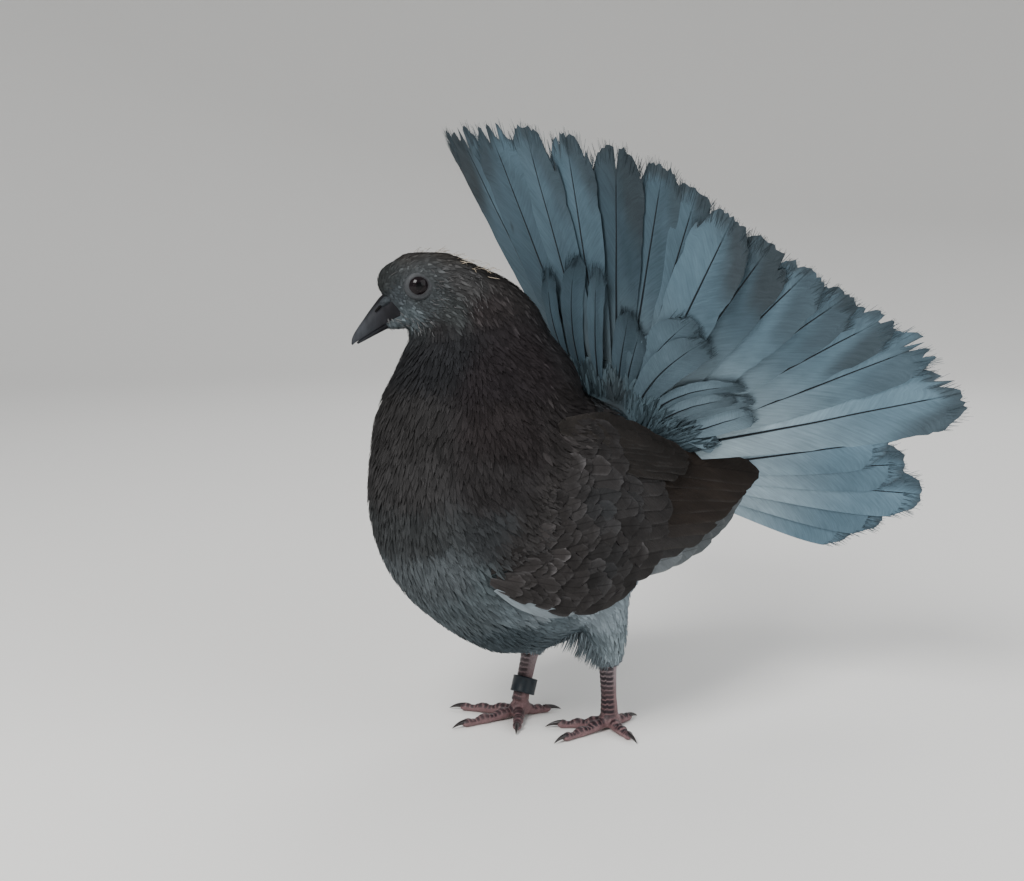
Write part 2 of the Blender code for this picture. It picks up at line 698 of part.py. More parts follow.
def build_wing(name, side, body_cutter):
    """A folded wing laid on the flank, its long feathers and coverts in tiers."""
    rings = []
    for forward, depth, thick, low_share, high_share in WING_CORE:
        _, low, high = smooth(WING_STATIONS, forward)[:3]
        heights = [low + (high - low)
                   * (low_share + (high_share - low_share) * step / (WING_CORE_ACROSS - 1))
                   for step in range(WING_CORE_ACROSS)]
        ring = [wing_point(side, forward, height, depth) for height in heights]
        ring += [wing_point(side, forward, height, depth + thick) for height in heights[::-1]]
        rings.append(ring)
    wing = loft(name, rings, "wing", end=wing_point(side, *WING_CORE_END))
    vanes = []
    for tier, (depths, spacing, half_width, deeper, feathers) in WING_TIERS.items():
        tilt = VANE_GAP / spacing if spacing else 0.0
        for index, (root, tip) in enumerate(feathers):
            own = [(key, depth + deeper * index) for key, depth in depths]
            vanes.append(wing_feather(f"{tier}_{index}", side, root, tip, half_width, own, tilt))
    fuse(wing, vanes)
    boolean(wing, body_cutter, "DIFFERENCE", keep_other=True, solver="MANIFOLD")
    return wing


def fan_direction(turn, half_angle):
    """Direction of a tail feather at a turn about the fan's axis, as forward, left, up."""
    rise = math.radians(TAIL_AXIS_RISE)
    turn, half_angle = math.radians(turn), math.radians(half_angle)
    axis = Vector((-math.cos(rise), 0.0, math.sin(rise)))
    front = Vector((math.sin(rise), 0.0, math.cos(rise)))
    aside = Vector((0.0, 1.0, 0.0))
    out = front * math.cos(turn) + aside * math.sin(turn)
    return axis * math.cos(half_angle) + out * math.sin(half_angle)


def fan_point(turn, half_angle, reach, lift):
    """A point of the fan, lifted in mm off its surface towards the bird's head."""
    ahead = fan_direction(turn, half_angle + ANGLE_STEP)
    behind = fan_direction(turn, half_angle - ANGLE_STEP)
    normal = (ahead - behind).normalized()
    point = Vector(TAIL_CENTRE) + fan_direction(turn, half_angle) * reach + normal * lift
    return place(*point)


def fan_core(name):
    """The thick root of the fan, a lens over its surface."""
    rings = []
    for step in range(TAIL_SPOKES + 1):
        turn = TAIL_FAN[0][0] + (TAIL_FAN[-1][0] - TAIL_FAN[0][0]) * step / TAIL_SPOKES
        half_angle = smooth(TAIL_FAN, turn)[1]
        pairs = list(zip(TAIL_CORE_REACHES, TAIL_CORE_THICKS))
        ring = [fan_point(turn, half_angle, reach, thick) for reach, thick in pairs]
        ring += [fan_point(turn, half_angle, reach, -thick) for reach, thick in reversed(pairs)]
        rings.append(ring)
    return loft(name, rings, "tail")


def fan_feather(name, turn, start, reach, widths, widest, lift, closest):
    """A feather that lies on the fan, tilted so that its outer edge covers the next one."""
    outward = 1 if turn > 0 else -1
    half_angle = smooth(TAIL_FAN, turn)[1]
    ahead, behind = (smooth(TAIL_FAN, turn + step)[1] for step in (TURN_STEP, -TURN_STEP))
    sweep = (ahead - behind) / (2 * TURN_STEP)
    sweep = TAIL_LAST_SWEEP if turn == TAIL_LAST else min(max(sweep, -TAIL_SWEEP), TAIL_SWEEP)
    stations = []
    for share, width in widths:
        at = start + (reach - start) * share
        around = at * math.sin(math.radians(half_angle))
        tilt = VANE_GAP / (around * math.radians(closest))
        face, back = [], []
        for across in (-1, 0, 1):
            offset = across * width * widest
            swing = math.degrees(offset / around)
            height = lift + outward * tilt * offset
            angle = half_angle + sweep * swing
            face.append(fan_point(turn + swing, angle, at, height + VANE_THICK / 2))
            back.append(fan_point(turn + swing, angle, at, height - VANE_THICK / 2))
        stations.append((face, back))
    return vane(name, stations, "tail")


def folded_feather(name, side, layer, rise, reach):
    """An outermost tail feather, which points back beside the rump."""
    out, rise = math.radians(FOLDED_OUT), math.radians(rise)
    along = Vector((-math.cos(out) * math.cos(rise), side * math.sin(out) * math.cos(rise),
                    math.sin(rise)))
    normal = Vector((math.sin(out), side * math.cos(out), 0.0))
    across = normal.cross(along).normalized()
    forward, left, height = FOLDED_ROOT
    root = Vector((forward, side * left, height)) - normal * layer * FOLDED_STEP
    stations = []
    for share, width in TAIL_WIDTHS:
        spots = [root + along * (TAIL_ROOT + (reach - TAIL_ROOT) * share)
                 + across * FOLDED_WIDTH / TAIL_WIDTHS[2][1] * width * edge
                 for edge in (-1, 0, 1)]
        half = normal * VANE_THICK / 2
        stations.append(([place(*(spot + half)) for spot in spots],
                         [place(*(spot - half)) for spot in spots]))
    return vane(name, stations, "tail")


def build_tail(cutters):
    """The spread tail: its root, its feathers, and the coverts over their roots."""
    tail = fan_core("tail")
    vanes = [ellipsoid("tail_head", place(*TAIL_HEAD), TAIL_HEAD_RADII, "tail", sides=12)]
    for turn in TAIL_TURNS:
        reach = smooth(TAIL_FAN, turn)[2]
        wider = TAIL_LAST_WIDER if turn == TAIL_LAST else 1.0
        vanes.append(fan_feather(f"rectrix_{turn}", turn, TAIL_ROOT, reach, TAIL_WIDTHS, wider,
                                 0.0, TAIL_CLOSEST))
    for face, (first, last, count, start, reach, lift, width) in TAIL_COVERTS.items():
        spacing = (last - first) / (count - 1)
        for index in range(count):
            full = reach * (1.0 + COVERT_RAGGED * math.sin(COVERT_WAVE * index))
            vanes.append(fan_feather(f"{face}_{index}", first + spacing * index, start, full,
                                     COVERT_WIDTHS, width, lift,
                                     spacing * COVERT_CLOSEST))
    for side in (1, -1):
        for layer, (rise, reach) in enumerate(FOLDED):
            vanes.append(folded_feather(f"folded_{side}_{layer}", side, layer, rise, reach))
    fuse(tail, vanes)
    for cutter in cutters:
        boolean(tail, cutter, "DIFFERENCE", keep_other=True, solver="MANIFOLD")
    return tail


def build_thigh(name, side, cutters, shank):
    """The feathered upper leg, from under the flank to the bare shank."""
    rings = []
    rows = THIGHS[side]
    for row in rows:
        height, forward, left, length, width = row
        ring = []
        for step in range(THIGH_SIDES):
            angle = 2 * math.pi * step / THIGH_SIDES
            ring.append(place(forward + length * math.cos(angle), left + width * math.sin(angle),
                              height))
        rings.append(ring)
    thigh = loft(name, rings, "thigh")
    for cutter in cutters:
        boolean(thigh, cutter, "DIFFERENCE", keep_other=True)
    boolean(thigh, inflated(shank), "DIFFERENCE")
    return thigh


def shank_line(side):
    """The bare leg's top and bottom middles, as forward, left and up."""
    height, forward, left, _, _ = THIGHS[side][-1]
    return Vector((forward, left, height + SHANK_SUNK)), Vector(FOOT_JOINT[side])


def build_foot(side):
    """Shank, foot and claws of one leg."""
    top, joint = shank_line(side)
    shares = (0.0, 0.33, 0.66, 1.0)
    points = [top.lerp(joint, share) for share in shares]
    shank = tube("shank_" + side, [place(*point) for point in points], SHANK_RADII, "leg",
                 SHANK_SIDES)
    hub = ellipsoid("foot_" + side, place(joint[0], joint[1], joint[2] - HUB_DROP),
                    (FOOT_HUB[1], FOOT_HUB[0], FOOT_HUB[2]), "leg", sides=12)
    toes = bpy.data.collections.new("toes_" + side)
    bpy.context.scene.collection.children.link(toes)
    claws = []
    for name, tip in zip(TOE_NAMES, TOE_TIPS[side]):
        start = Vector((joint[0], joint[1], 0.0))
        along = Vector((tip[0], tip[1], 0.0)) - start
        reach = along.length - CLAW_LENGTH
        along.normalize()
        points, radii = [], []
        for step in range(TOE_STEPS):
            share = step / (TOE_STEPS - 1)
            radius = TOE_THICK + (TOE_END_THICK - TOE_THICK) * share
            radius += TOE_SWELL * math.cos(share * math.pi * TOE_JOINTS)
            level = min(1.0, share * TOE_LEVEL_BY)
            height = TOE_ROOT_HEIGHT + (radius - TOE_ROOT_HEIGHT) * level - TOE_SUNK
            points.append(place(start.x + along.x * reach * share,
                                start.y + along.y * reach * share, height))
            radii.append(radius)
        round_end = place(start.x + along.x * (reach + TOE_ROUND),
                          start.y + along.y * (reach + TOE_ROUND), radii[-1] - TOE_ROUND_SUNK)
        toe = tube("toe", points, radii, "leg", TOE_SIDES, end=round_end)
        bpy.data.collections["fantail_pigeon"].objects.unlink(toe)
        toes.objects.link(toe)
        claw_points, claw_radii = [], []
        for step in range(CLAW_STEPS):
            share = step / CLAW_STEPS
            along_claw = reach - CLAW_SUNK + (CLAW_LENGTH + CLAW_SUNK) * share
            claw_points.append(place(start.x + along.x * along_claw,
                                     start.y + along.y * along_claw,
                                     CLAW_HEIGHT - CLAW_FALL * share - CLAW_BEND * share ** 2))
            claw_radii.append(CLAW_THICK * (1 - CLAW_TAPER * share))
        claw_end = place(start.x + along.x * (reach + CLAW_LENGTH),
                         start.y + along.y * (reach + CLAW_LENGTH), CLAW_TIP_HEIGHT)
        claws.append(tube(f"claw_{side}_{name}", claw_points, claw_radii, "claw", CLAW_SIDES,
                          end=claw_end))
    boolean(hub, toes, "UNION")
    bpy.data.collections.remove(toes)
    boolean(hub, inflated(shank), "DIFFERENCE")
    floor_box = bmesh.new()
    bmesh.ops.create_cube(floor_box, size=FLOOR_BLOCK)
    for vertex in floor_box.verts:
        vertex.co.z -= FLOOR_BLOCK / 2
    below = finish("below_floor", floor_box, "leg", "cutters")
    boolean(hub, below, "DIFFERENCE")
    cutter = inflated(hub)
    for claw in claws:
        boolean(claw, cutter, "DIFFERENCE", keep_other=True)
    drop(cutter)
    return shank


def build_ring():
    """The plain leg ring, resting just above the right foot."""
    top, joint = shank_line("right")
    axis = (top - joint).normalized()
    middle = joint.lerp(top, 1 - RING_ALONG) + Vector((-RING_SHIFT, 0.0, 0.0))
    side = axis.cross(Vector((1.0, 0.0, 0.0))).normalized()
    front = side.cross(axis).normalized()
    rings = []
    for radius, height in ((RING_HOLE, -0.5), (RING_RADIUS, -0.5), (RING_RADIUS, 0.5),
                           (RING_HOLE, 0.5)):
        rings.append([place(*(middle + axis * height * RING_HEIGHT
                              + (side * math.cos(angle) + front * math.sin(angle)) * radius))
                      for angle in [2 * math.pi * step / RING_SIDES for step in range(RING_SIDES)]])
    data = bmesh.new()
    rows = [[data.verts.new(point) for point in ring] for ring in rings]
    for index, row in enumerate(rows):
        after = rows[(index + 1) % 4]
        for step in range(RING_SIDES):
            turn = (step + 1) % RING_SIDES
            data.faces.new((row[step], row[turn], after[turn], after[step]))
    return finish("leg_ring", data, "ring")


def settle():
    """Parent every part to an empty that sets the origin under the middle of the bird."""
    parts = list(bpy.data.collections["fantail_pigeon"].objects)
    points = [vertex.co for part in parts for vertex in part.data.vertices]
    lows = [min(point[axis] for point in points) for axis in range(3)]
    highs = [max(point[axis] for point in points) for axis in range(3)]
    frame = bpy.data.objects.new("fantail_pigeon_frame", None)
    bpy.context.scene.collection.objects.link(frame)
    frame.location = (-(lows[0] + highs[0]) / 2, -(lows[1] + highs[1]) / 2, -lows[2])
    for part in parts:
        part.parent = frame


def main():
    for item in list(bpy.data.objects):
        bpy.data.objects.remove(item)
    for name in ("fantail_pigeon", "cutters"):
        collection = bpy.data.collections.new(name)
        bpy.context.scene.collection.children.link(collection)
    body, torso, head = build_body()
    build_eyes(head)
    build_bill(head)
    body_cutter = inflated(body)
    drop(body)
    wings = [build_wing("wing_left", 1, body_cutter), build_wing("wing_right", -1, body_cutter)]
    wing_cutters = [inflated(wing) for wing in wings]
    build_tail([body_cutter] + wing_cutters)
    for side, wing_cutter in zip(("left", "right"), wing_cutters):
        shank = build_foot(side)
        build_thigh("thigh_" + side, side, [body_cutter, wing_cutter], shank)
    build_ring()
    for cutter in [body_cutter] + wing_cutters:
        drop(cutter)
    settle()


main()
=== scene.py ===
"""Fantail pigeon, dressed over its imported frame.

Lengths are in millimetres in the bird's own frame, forward, left and up from
the floor point midway between its feet; to_row() turns them into metres.
The head has a frame of its own, which head_point() and to_head() turn.
"""
import itertools
import math

import bmesh
import bpy
import numpy as np
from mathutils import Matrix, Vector
from mathutils.bvhtree import BVHTree


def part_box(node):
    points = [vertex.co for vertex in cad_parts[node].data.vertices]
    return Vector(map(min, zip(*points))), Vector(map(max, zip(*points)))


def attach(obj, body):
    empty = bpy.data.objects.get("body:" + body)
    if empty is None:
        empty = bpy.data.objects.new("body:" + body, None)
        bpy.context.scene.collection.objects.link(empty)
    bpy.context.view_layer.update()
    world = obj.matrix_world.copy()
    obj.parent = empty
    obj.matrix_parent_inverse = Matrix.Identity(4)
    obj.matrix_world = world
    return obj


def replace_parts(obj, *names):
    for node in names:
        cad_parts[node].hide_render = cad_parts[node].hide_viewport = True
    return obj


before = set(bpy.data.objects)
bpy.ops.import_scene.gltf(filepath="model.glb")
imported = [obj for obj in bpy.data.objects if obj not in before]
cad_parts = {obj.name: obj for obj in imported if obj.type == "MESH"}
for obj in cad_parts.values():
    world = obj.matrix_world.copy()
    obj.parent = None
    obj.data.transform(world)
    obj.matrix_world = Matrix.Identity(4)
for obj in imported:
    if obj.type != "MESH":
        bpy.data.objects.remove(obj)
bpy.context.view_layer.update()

DRAW = np.random.default_rng(7)
MILLIMETRE = 0.001
SIDES = {1: "left", -1: "right"}

# Body as level slices: height, middle forward, middle left, half length, half
# width, turn to the bird's right, and how much wider it is in front.
BODY_SLICES = [
    (36.5, 24, 0, 0, 0, 0, 0), (38, 24, 0, 14, 9, 0, 0), (42, 23, 0, 24, 17, 0, 0),
    (48, 22, 0, 35, 25, 0, 0.05), (55, 20.5, 0, 45.5, 32, 0, 0.08),
    (64, 19.5, 0, 56.5, 38, 0, 0.1), (76, 21, 0, 64, 42.5, 0, 0.12),
    (90, 23.7, 0, 67, 44.6, 0, 0.13), (104, 25.2, 0, 68, 44.6, 0, 0.15),
    (116, 24.8, 0, 67.5, 43.2, 0, 0.22), (125, 24.2, 0, 66.5, 41.2, 0, 0.3),
    (131, 26, 0, 63.5, 40, 0, 0.34), (136, 30.5, 0, 58, 38.5, 1, 0.3),
    (140, 38.5, 0, 49, 37.5, 3, 0.18), (145, 44, 0, 42.5, 36.5, 5, 0.06),
    (150, 43.9, 0, 40.4, 34, 8, 0), (155, 43.5, 0, 38, 31, 11, 0),
    (160, 43.7, 0, 35.2, 27.5, 15, 0), (165, 44.6, -0.6, 31.8, 23.5, 19, 0),
    (170, 45.5, -1.3, 28.8, 20.5, 23, 0), (175, 47.7, -2, 28.4, 18.6, 27, 0),
    (180, 51.8, -2.8, 29.8, 16.8, 29, 0), (185, 55.6, -3.7, 29.2, 15.4, 29, 0),
    (190, 59.4, -4.5, 27.2, 14.4, 29, 0), (194, 62.6, -5.1, 23.4, 13.2, 29, 0),
    (198, 66.2, -5.8, 17, 11.3, 29, 0), (201, 67.7, -6, 11.8, 8.8, 29, 0),
    (203.2, 68.4, -6, 6.6, 5.4, 29, 0), (204.4, 68.7, -6, 0, 0, 29, 0)
]
# How far the skin lies inside the coat, by height, and inside the thighs' own feathers.
COAT_DEPTH = [(36, 1.2), (60, 0.8), (130, 0.5), (160, 0.4), (180, 0.4), (205, 0.4)]
THIGH_DEPTH = 2.0
# Each thigh as level ovals: height, forward, left, half length and half width.
THIGHS = {
    1: [
        (74, 2, 24, 16, 14), (60, 3, 24, 14.5, 14), (50, 1, 22.5, 13.5, 12.5),
        (41, -2.5, 21, 11.5, 10.5), (34, -5, 20.2, 9, 8.2), (30.5, -6.2, 19.9, 6.6, 6.2),
        (29, -6.6, 19.8, 4.8, 4.6)
    ],
    -1: [
        (74, -2, -24, 18, 14), (60, -1, -23, 16.5, 14), (50, 0, -21.5, 14.5, 12.5),
        (41, 0.5, -20.4, 12, 10.5), (33, 1.4, -19.8, 8.6, 8), (28.5, 2, -19.5, 6.4, 6),
        (27, 2.2, -19.4, 4.8, 4.6)
    ],
}
# Rounded lumps of the skin: brow and chin (head frame, radii, pitch), and rump.
HEAD_BALLS = [((18.6, 0, 1.6), (9.2, 8.6, 7.8), 14), ((17.2, 0, -13.1), (11, 4.8, 3.9), 12)]
RUMP_BALL = ((-44, 0, 107), (15.5, 18.5, 11.5))
# The flesh at the fan's root: reach and half thickness.
FAN_ROOT = [(4, 6.5), (16, 5.6), (28, 4.6), (40, 3.4), (52, 1.4)]
SKIN_VOXEL = 1.2

HEAD_ORIGIN = np.array((59.4, -4.5, 190.4))
HEAD_TURN = math.radians(29.0)
EYE_IN_HEAD = (12.9, 9.4, 0.0)

# Wing: stations along it, each with its height range, how far out its middle
# lies, and how far its top and bottom edges draw in.
WING_STATIONS = [
    (69.5, 78.5, 88, 36, 1, 0.5), (66, 76, 100, 38, 3, 1), (60, 73, 112, 42, 6, 2),
    (52, 69, 124, 47, 9, 3), (41, 65.4, 134, 51.5, 12, 4), (30, 65, 139.5, 53.5, 13.5, 5),
    (18, 66.5, 139.8, 54, 14.5, 6), (6, 69, 137, 53, 15, 6.5), (-7, 70.3, 132, 51.5, 14.5, 6),
    (-20, 71.8, 126.5, 49.5, 13, 5), (-34, 73.2, 122, 46.8, 10, 4),
    (-48, 75.5, 119, 43.8, 6.5, 3), (-58, 79, 117.5, 41.7, 5, 2.4),
    (-68, 88, 114.5, 39.6, 3.5, 1.6), (-76, 96, 111, 38, 2, 0.8), (-84, 102, 106, 36.4, 0.6, 0.4)
]
# The share of its height at which a wing stands out most, and how far it clears the torso.
WING_MIDDLE = 0.4
WING_PROUD = 2.0
# A wing's front edge: height and forward.
WING_FRONT = [
    (65, 41), (69, 52), (73, 60), (76, 66), (78.5, 69.5), (88, 69.5), (100, 66), (112, 60),
    (124, 52), (134, 41), (139.5, 30)
]
# The flesh in a wing: forward, depth of its face, thickness, and its shares of the height.
WING_CORE = [
    (66, 2.5, 5, 0.1, 0.9), (57, 2.2, 8, 0.05, 0.95), (48, 2.2, 9, 0.03, 0.97),
    (30, 2.4, 9, 0.03, 0.97), (22, 3, 8, 0.04, 0.97), (12, 4.2, 7, 0.06, 0.95),
    (0, 5.4, 5.6, 0.1, 0.92), (-9, 6.4, 4.2, 0.14, 0.86), (-16, 7, 2.4, 0.18, 0.8)
]
# Long feathers: depth along the wing as forward and depth, depth step, half width, how
# many the wing shows, how blunt their ends are, then root and tip as forward and up.
WING_TIERS = {
    "primary": ([(25, 3.6), (10, 4.8), (-6, 5.3), (-20, 4.7), (-40, 3.5), (-60, 2.6), (-84, 2.2)],
        2.2, 6, 7, 1.15, [
            (24, 72, -16, 74.5), (18, 74.5, -36, 77), (10, 78, -53, 80.5), (2, 82, -66, 86.5),
            (-4, 86, -76.5, 94.5)
        ]),
    "secondary": ([(14, 4.6), (4, 4), (-12, 3.1), (-30, 2), (-50, 1.3), (-84, 0.9)],
        0, 6, 9, 1.15, [
            (12, 77.5, -12, 82), (10, 83.5, -32, 83.5), (8, 90, -48, 88), (6, 97, -60, 93.5),
            (4, 104, -69, 97.5), (2, 111.5, -77, 101), (0, 119.5, -83, 104.5)
        ]),
    "covert": ([(32, 2.4), (24, 2.4), (12, 1.4), (0, 0.7), (-12, 0.2), (-34, 0.2)],
        0, 5.8, 9, 0.62, [
            (26, 73.5, -6, 76), (26, 82, -10, 84), (26, 90.5, -12, 92), (26, 99, -12, 100),
            (25, 107.5, -11, 107.5), (24, 116.5, -10, 115), (22, 124, -14, 120)
        ]),
    "scapular": ([(44, 1.6), (20, 0.7), (0, -0.1), (-34, -0.4)],
        0, 4.8, 9, 0.9, [
            (12, 118.5, -22, 113.5), (14, 122.5, -34, 116), (20, 127, -30, 119.5),
            (26, 131, -22, 124.5), (34, 134, -10, 130), (40, 135.5, 4, 134)
        ]),
}
# Half width along a wing's long feathers and its small coverts, as a share of the widest.
LONG_SHAPE = [(0, 0.35), (0.15, 0.75), (0.45, 0.95), (0.85, 1), (1, 0.86)]
COVERT_SHAPE = [(0, 0.5), (0.3, 0.9), (0.6, 1), (0.85, 0.94), (1, 0.66)]
# The pale feather under a wing: share of its length, forward, up and half width.
UNDER_WING = [
    (0, 67, 75, 0.6), (0.25, 59, 69.4, 2), (0.5, 50, 65.4, 2.5), (0.75, 42, 63.2, 1.7),
    (1, 34, 62.8, 0.5)
]

# The fan's surface is a cone round an axis that rises from the tail's centre: turn about
# the axis, half angle of the cone and reach there.
TAIL_CENTRE = np.array((-30.0, 0.0, 112.0))
TAIL_AXIS_RISE = math.radians(56.6)
TAIL_FAN = [
    (-122, 40, 138), (-90, 42, 146), (-60, 45.5, 150), (-32, 51.5, 154), (-18, 58, 158),
    (3, 58.5, 155), (26, 58.5, 151), (38, 60, 149), (48, 64, 150), (58, 65.5, 150),
    (70, 66.8, 150), (78, 67, 153), (86, 67.8, 156), (94, 70, 156.5), (106, 61, 138),
    (120, 53, 132)
]
# Turns of the long feathers, the wide one at the fan's near edge with its lean and width,
# and the feathers whose reach stays as the fan's.
TAIL_TURNS = (-120, -109, -98, -88, -78, -68, -58, -48, -39, -30, -21, -12, -3, 6, 15, 25, 34,
              41, 48, 55, 62, 69, 76, 84, 94, 106, 118)
TAIL_LAST, TAIL_LAST_SWEEP, TAIL_LAST_WIDER = 94, 0.32, 1.25
TAIL_WHOLE = (-12, -3, 6, TAIL_LAST)
# Half widths along a long feather and along a covert, the covert's as a share.
TAIL_WIDTHS = [(0, 1.7), (0.3, 7), (0.6, 11.2), (0.78, 12.7), (0.94, 12.6), (1, 11.6)]
COVERT_WIDTHS = [(0, 0.5), (0.25, 0.8), (0.6, 1), (0.88, 0.96), (1, 0.6)]
# Where the long feathers start, the closest step of turn between them, how far they lean
# with the fan's edge, how far their corners draw back, the gap between neighbouring vanes
# and half a vane's thickness.
TAIL_ROOT = 12.0
TAIL_CLOSEST = 6.0
TAIL_SWEEP = 0.25
TIP_DROP = 0.085
VANE_GAP = 0.85
VANE_HALF = 0.13
# Outermost feathers, folded back: rise and reach of each, and their turn out, root, half
# width and step inwards.
FOLDED = [(5, 117), (-0.5, 126), (-6.5, 136.5), (-11.5, 120), (-16, 107)]
FOLDED_OUT = math.radians(26.0)
FOLDED_ROOT = np.array((-38.0, 8.0, 106.0))
FOLDED_WIDTH = 11.5
FOLDED_STEP = 1.1
# Tail coverts: turn and reach at the root, turn and reach at the tip, and half width.
TAIL_COVERTS = [
    (-0.5, 44, 13.5, 101, 5.5), (-11, 44, 1, 94, 4), (14.5, 44, 20.5, 98.5, 4.2),
    (28, 42, 31, 82, 5.5), (34, 44, 36, 76, 4.5), (45.5, 44, 55.5, 93.5, 7.6),
    (40, 44, 50, 98, 8), (56, 44, 72, 84.5, 4.6), (63, 42, 74, 76, 4.4),
    (69.5, 44, 78.5, 80.5, 4), (81, 44, 84, 75, 6), (86.5, 38, 104, 52, 4.5),
    (-22, 44, -26, 92, 5), (-33, 44, -40, 84, 5.5), (-45, 44, -52, 95, 6.6),
    (-56, 44, -66, 86, 5), (-68, 44, -76, 82, 6), (-80, 44, -88, 76, 5), (-92, 40, -104, 62, 4.5)
]
# Coverts on the fan's rear face: turn, reach and half width.
VENT_COVERTS = [
    (-84, 72, 7), (-70, 80, 7.5), (-55, 76, 8), (-41, 86, 7.5), (-27, 80, 8), (-13, 90, 7.5),
    (0, 84, 8), (13, 90, 7.5), (27, 78, 8), (41, 86, 7.5), (55, 76, 8), (70, 82, 7.5),
    (84, 72, 7)
]
# A quill's section: place across it and height, in shares of its half width.
QUILL_SECTION = [(-1, -0.182), (-0.55, 0.4004), (0, 0.728), (0.55, 0.4004), (1, -0.182)]
QUILL_UNDER = 0.45

# Tufts by region: spacing, length, half width, and the lift of root and tip.
TUFTS = {
    "face": (0.72, 3.2, 0.55, -0.15, 0.3),
    "nape": (0.95, 5.2, 0.62, -0.25, 0.55),
    "neck": (1.12, 7.8, 0.8, -0.3, 0.85),
    "body": (1.32, 10.0, 1.1, -0.35, 1.05),
    "thigh": (1.15, 9.0, 0.8, -0.35, 1.5),
    "rump": (1.15, 11.5, 0.72, 0.2, 1.5),
}
# A tuft's width and its shade from root to tip.
TUFT_SHAPE = (0.4, 0.85, 1, 0.9, 0.62, 0.12)
TUFT_SHADES = (0.85, 0.92, 0.98, 1, 1.05, 1.1)
TUFT_THICK = 0.12
# A leaf's width on OFBake, tufts in a piece, and places tried on a square millimetre.
TUFT_PATCH = 0.003
TUFTS_A_PIECE = 4600
TRIES_EACH_SQUARE = 4.0
# How much of the coat's shading comes from the skin below it.
COAT_SMOOTH = 0.72
# The half width along a frayed barb, a thread of the thigh's hem and one of down.
BARB_WIDTHS = (0.13, 0.13, 0.104, 0.0325)
HEM_WIDTHS = (0.252, 0.42, 0.42, 0.357, 0.252, 0.168, 0.0504)
THREAD_SHAPE = (1, 1, 0.95, 0.85, 0.7, 0.5, 0.2)
# The hem's lower edge as forward and height, and its threads on each side.
THIGH_HEM = [(-16, 31), (-8, 27.5), (2, 29.5), (10, 35), (18, 40), (26, 44.5)]
HEM_COUNT = 240
# Down: kind, count, two corners of its place in the head frame, length, how far it
# stands off, half width and colour.
DOWN_KINDS = [
    ("crown", 34, (15, 10, 14), (-4, 10, 13), 2.4, 1, 0.14, (0.3, 0.29, 0.24)),
    ("nape", 50, (-2, 13, 12), (-17, 14, 5), 3.3, 1, 0.19, (0.46, 0.44, 0.36)),
    ("cheek", 150, (9, 12, 6), (-14, 16, -12), 2.1, 0.12, 0.13, (0.07, 0.078, 0.084)),
    ("chin", 90, (25, 4, -10), (4, 6, -19), 2.2, 0.14, 0.14, (0.11, 0.125, 0.135)),
    ("brow", 60, (24, 6, 9), (0, 10, -2), 2, 0.1, 0.12, (0.055, 0.06, 0.064)),
]

# Bill halves: forward and up of the outer edge, then of the mouth's edge, and half width.
UPPER_BILL = [
    (19, -0.6, 13.5, -10.2, 5.4), (25.6, -3.8, 18.6, -12, 4.7), (29.2, -7.8, 23, -14.2, 3.9),
    (33, -13, 28.6, -17.5, 3), (36.2, -17.6, 33.6, -20.6, 2.1), (37.8, -20.6, 36.4, -22.4, 1.2),
    (38.2, -23, 37.8, -23.6, 0.45)
]
LOWER_BILL = [
    (10.5, -15, 13, -9.9, 4.4), (17.4, -14.9, 18.8, -12.1, 3.9), (22.4, -16.6, 23.4, -14.4, 3.2),
    (28, -19.3, 28.9, -17.6, 2.4), (33, -21.9, 33.8, -20.7, 1.5), (35.6, -23.2, 36.1, -22.6, 0.7)
]
# A lid's section: radius round the eye and how far out it stands.
LID_PROFILE = [
    (3.25, -0.6), (3.2, 0.1), (3.35, 0.5), (3.7, 0.62), (4.2, 0.55), (4.7, 0.35), (5.2, 0.1),
    (5.7, -0.35), (5.6, -0.9), (4.4, -1.2), (3.5, -1)
]
# The joint above each foot, and forward and left of its toes' tips.
FOOT_JOINT = {1: (-8.1, 19.6, 7.0), -1: (10.7, -17.3, 7.0)}
TOE_TIPS = {
    1: {"middle": (24.4, 20.7), "inner": (12.9, 2.0), "outer": (-2.0, 42.8),
        "hind": (-28.0, 16.5)},
    -1: {"middle": (45.1, -21.6), "inner": (29.2, 1.9), "outer": (28.3, -45.0),
         "hind": (-8.7, -12.0)},
}
# The shank's radius from top to joint, and the length of one scute.
SHANK_RADII = [(0, 4.3), (0.3, 3.6), (0.7, 3.3), (1, 3.8)]
SCUTE = 2.1
# The ring's section: radius and place along the shank.
RING_PROFILE = [(4.3, -3.2), (4.5, -3.5), (5.1, -3.5), (5.4, -3.3), (5.42, -2.9), (5.34, -2.7),
                (5.36, 0), (5.34, 2.7), (5.42, 2.9), (5.4, 3.3), (5.1, 3.5), (4.5, 3.5),
                (4.3, 3.2), (4.3, 0)]

# Takes part of the photo's blue cast out of every feather's colour.
WARMTH = np.array((1.12, 1.0, 0.95))
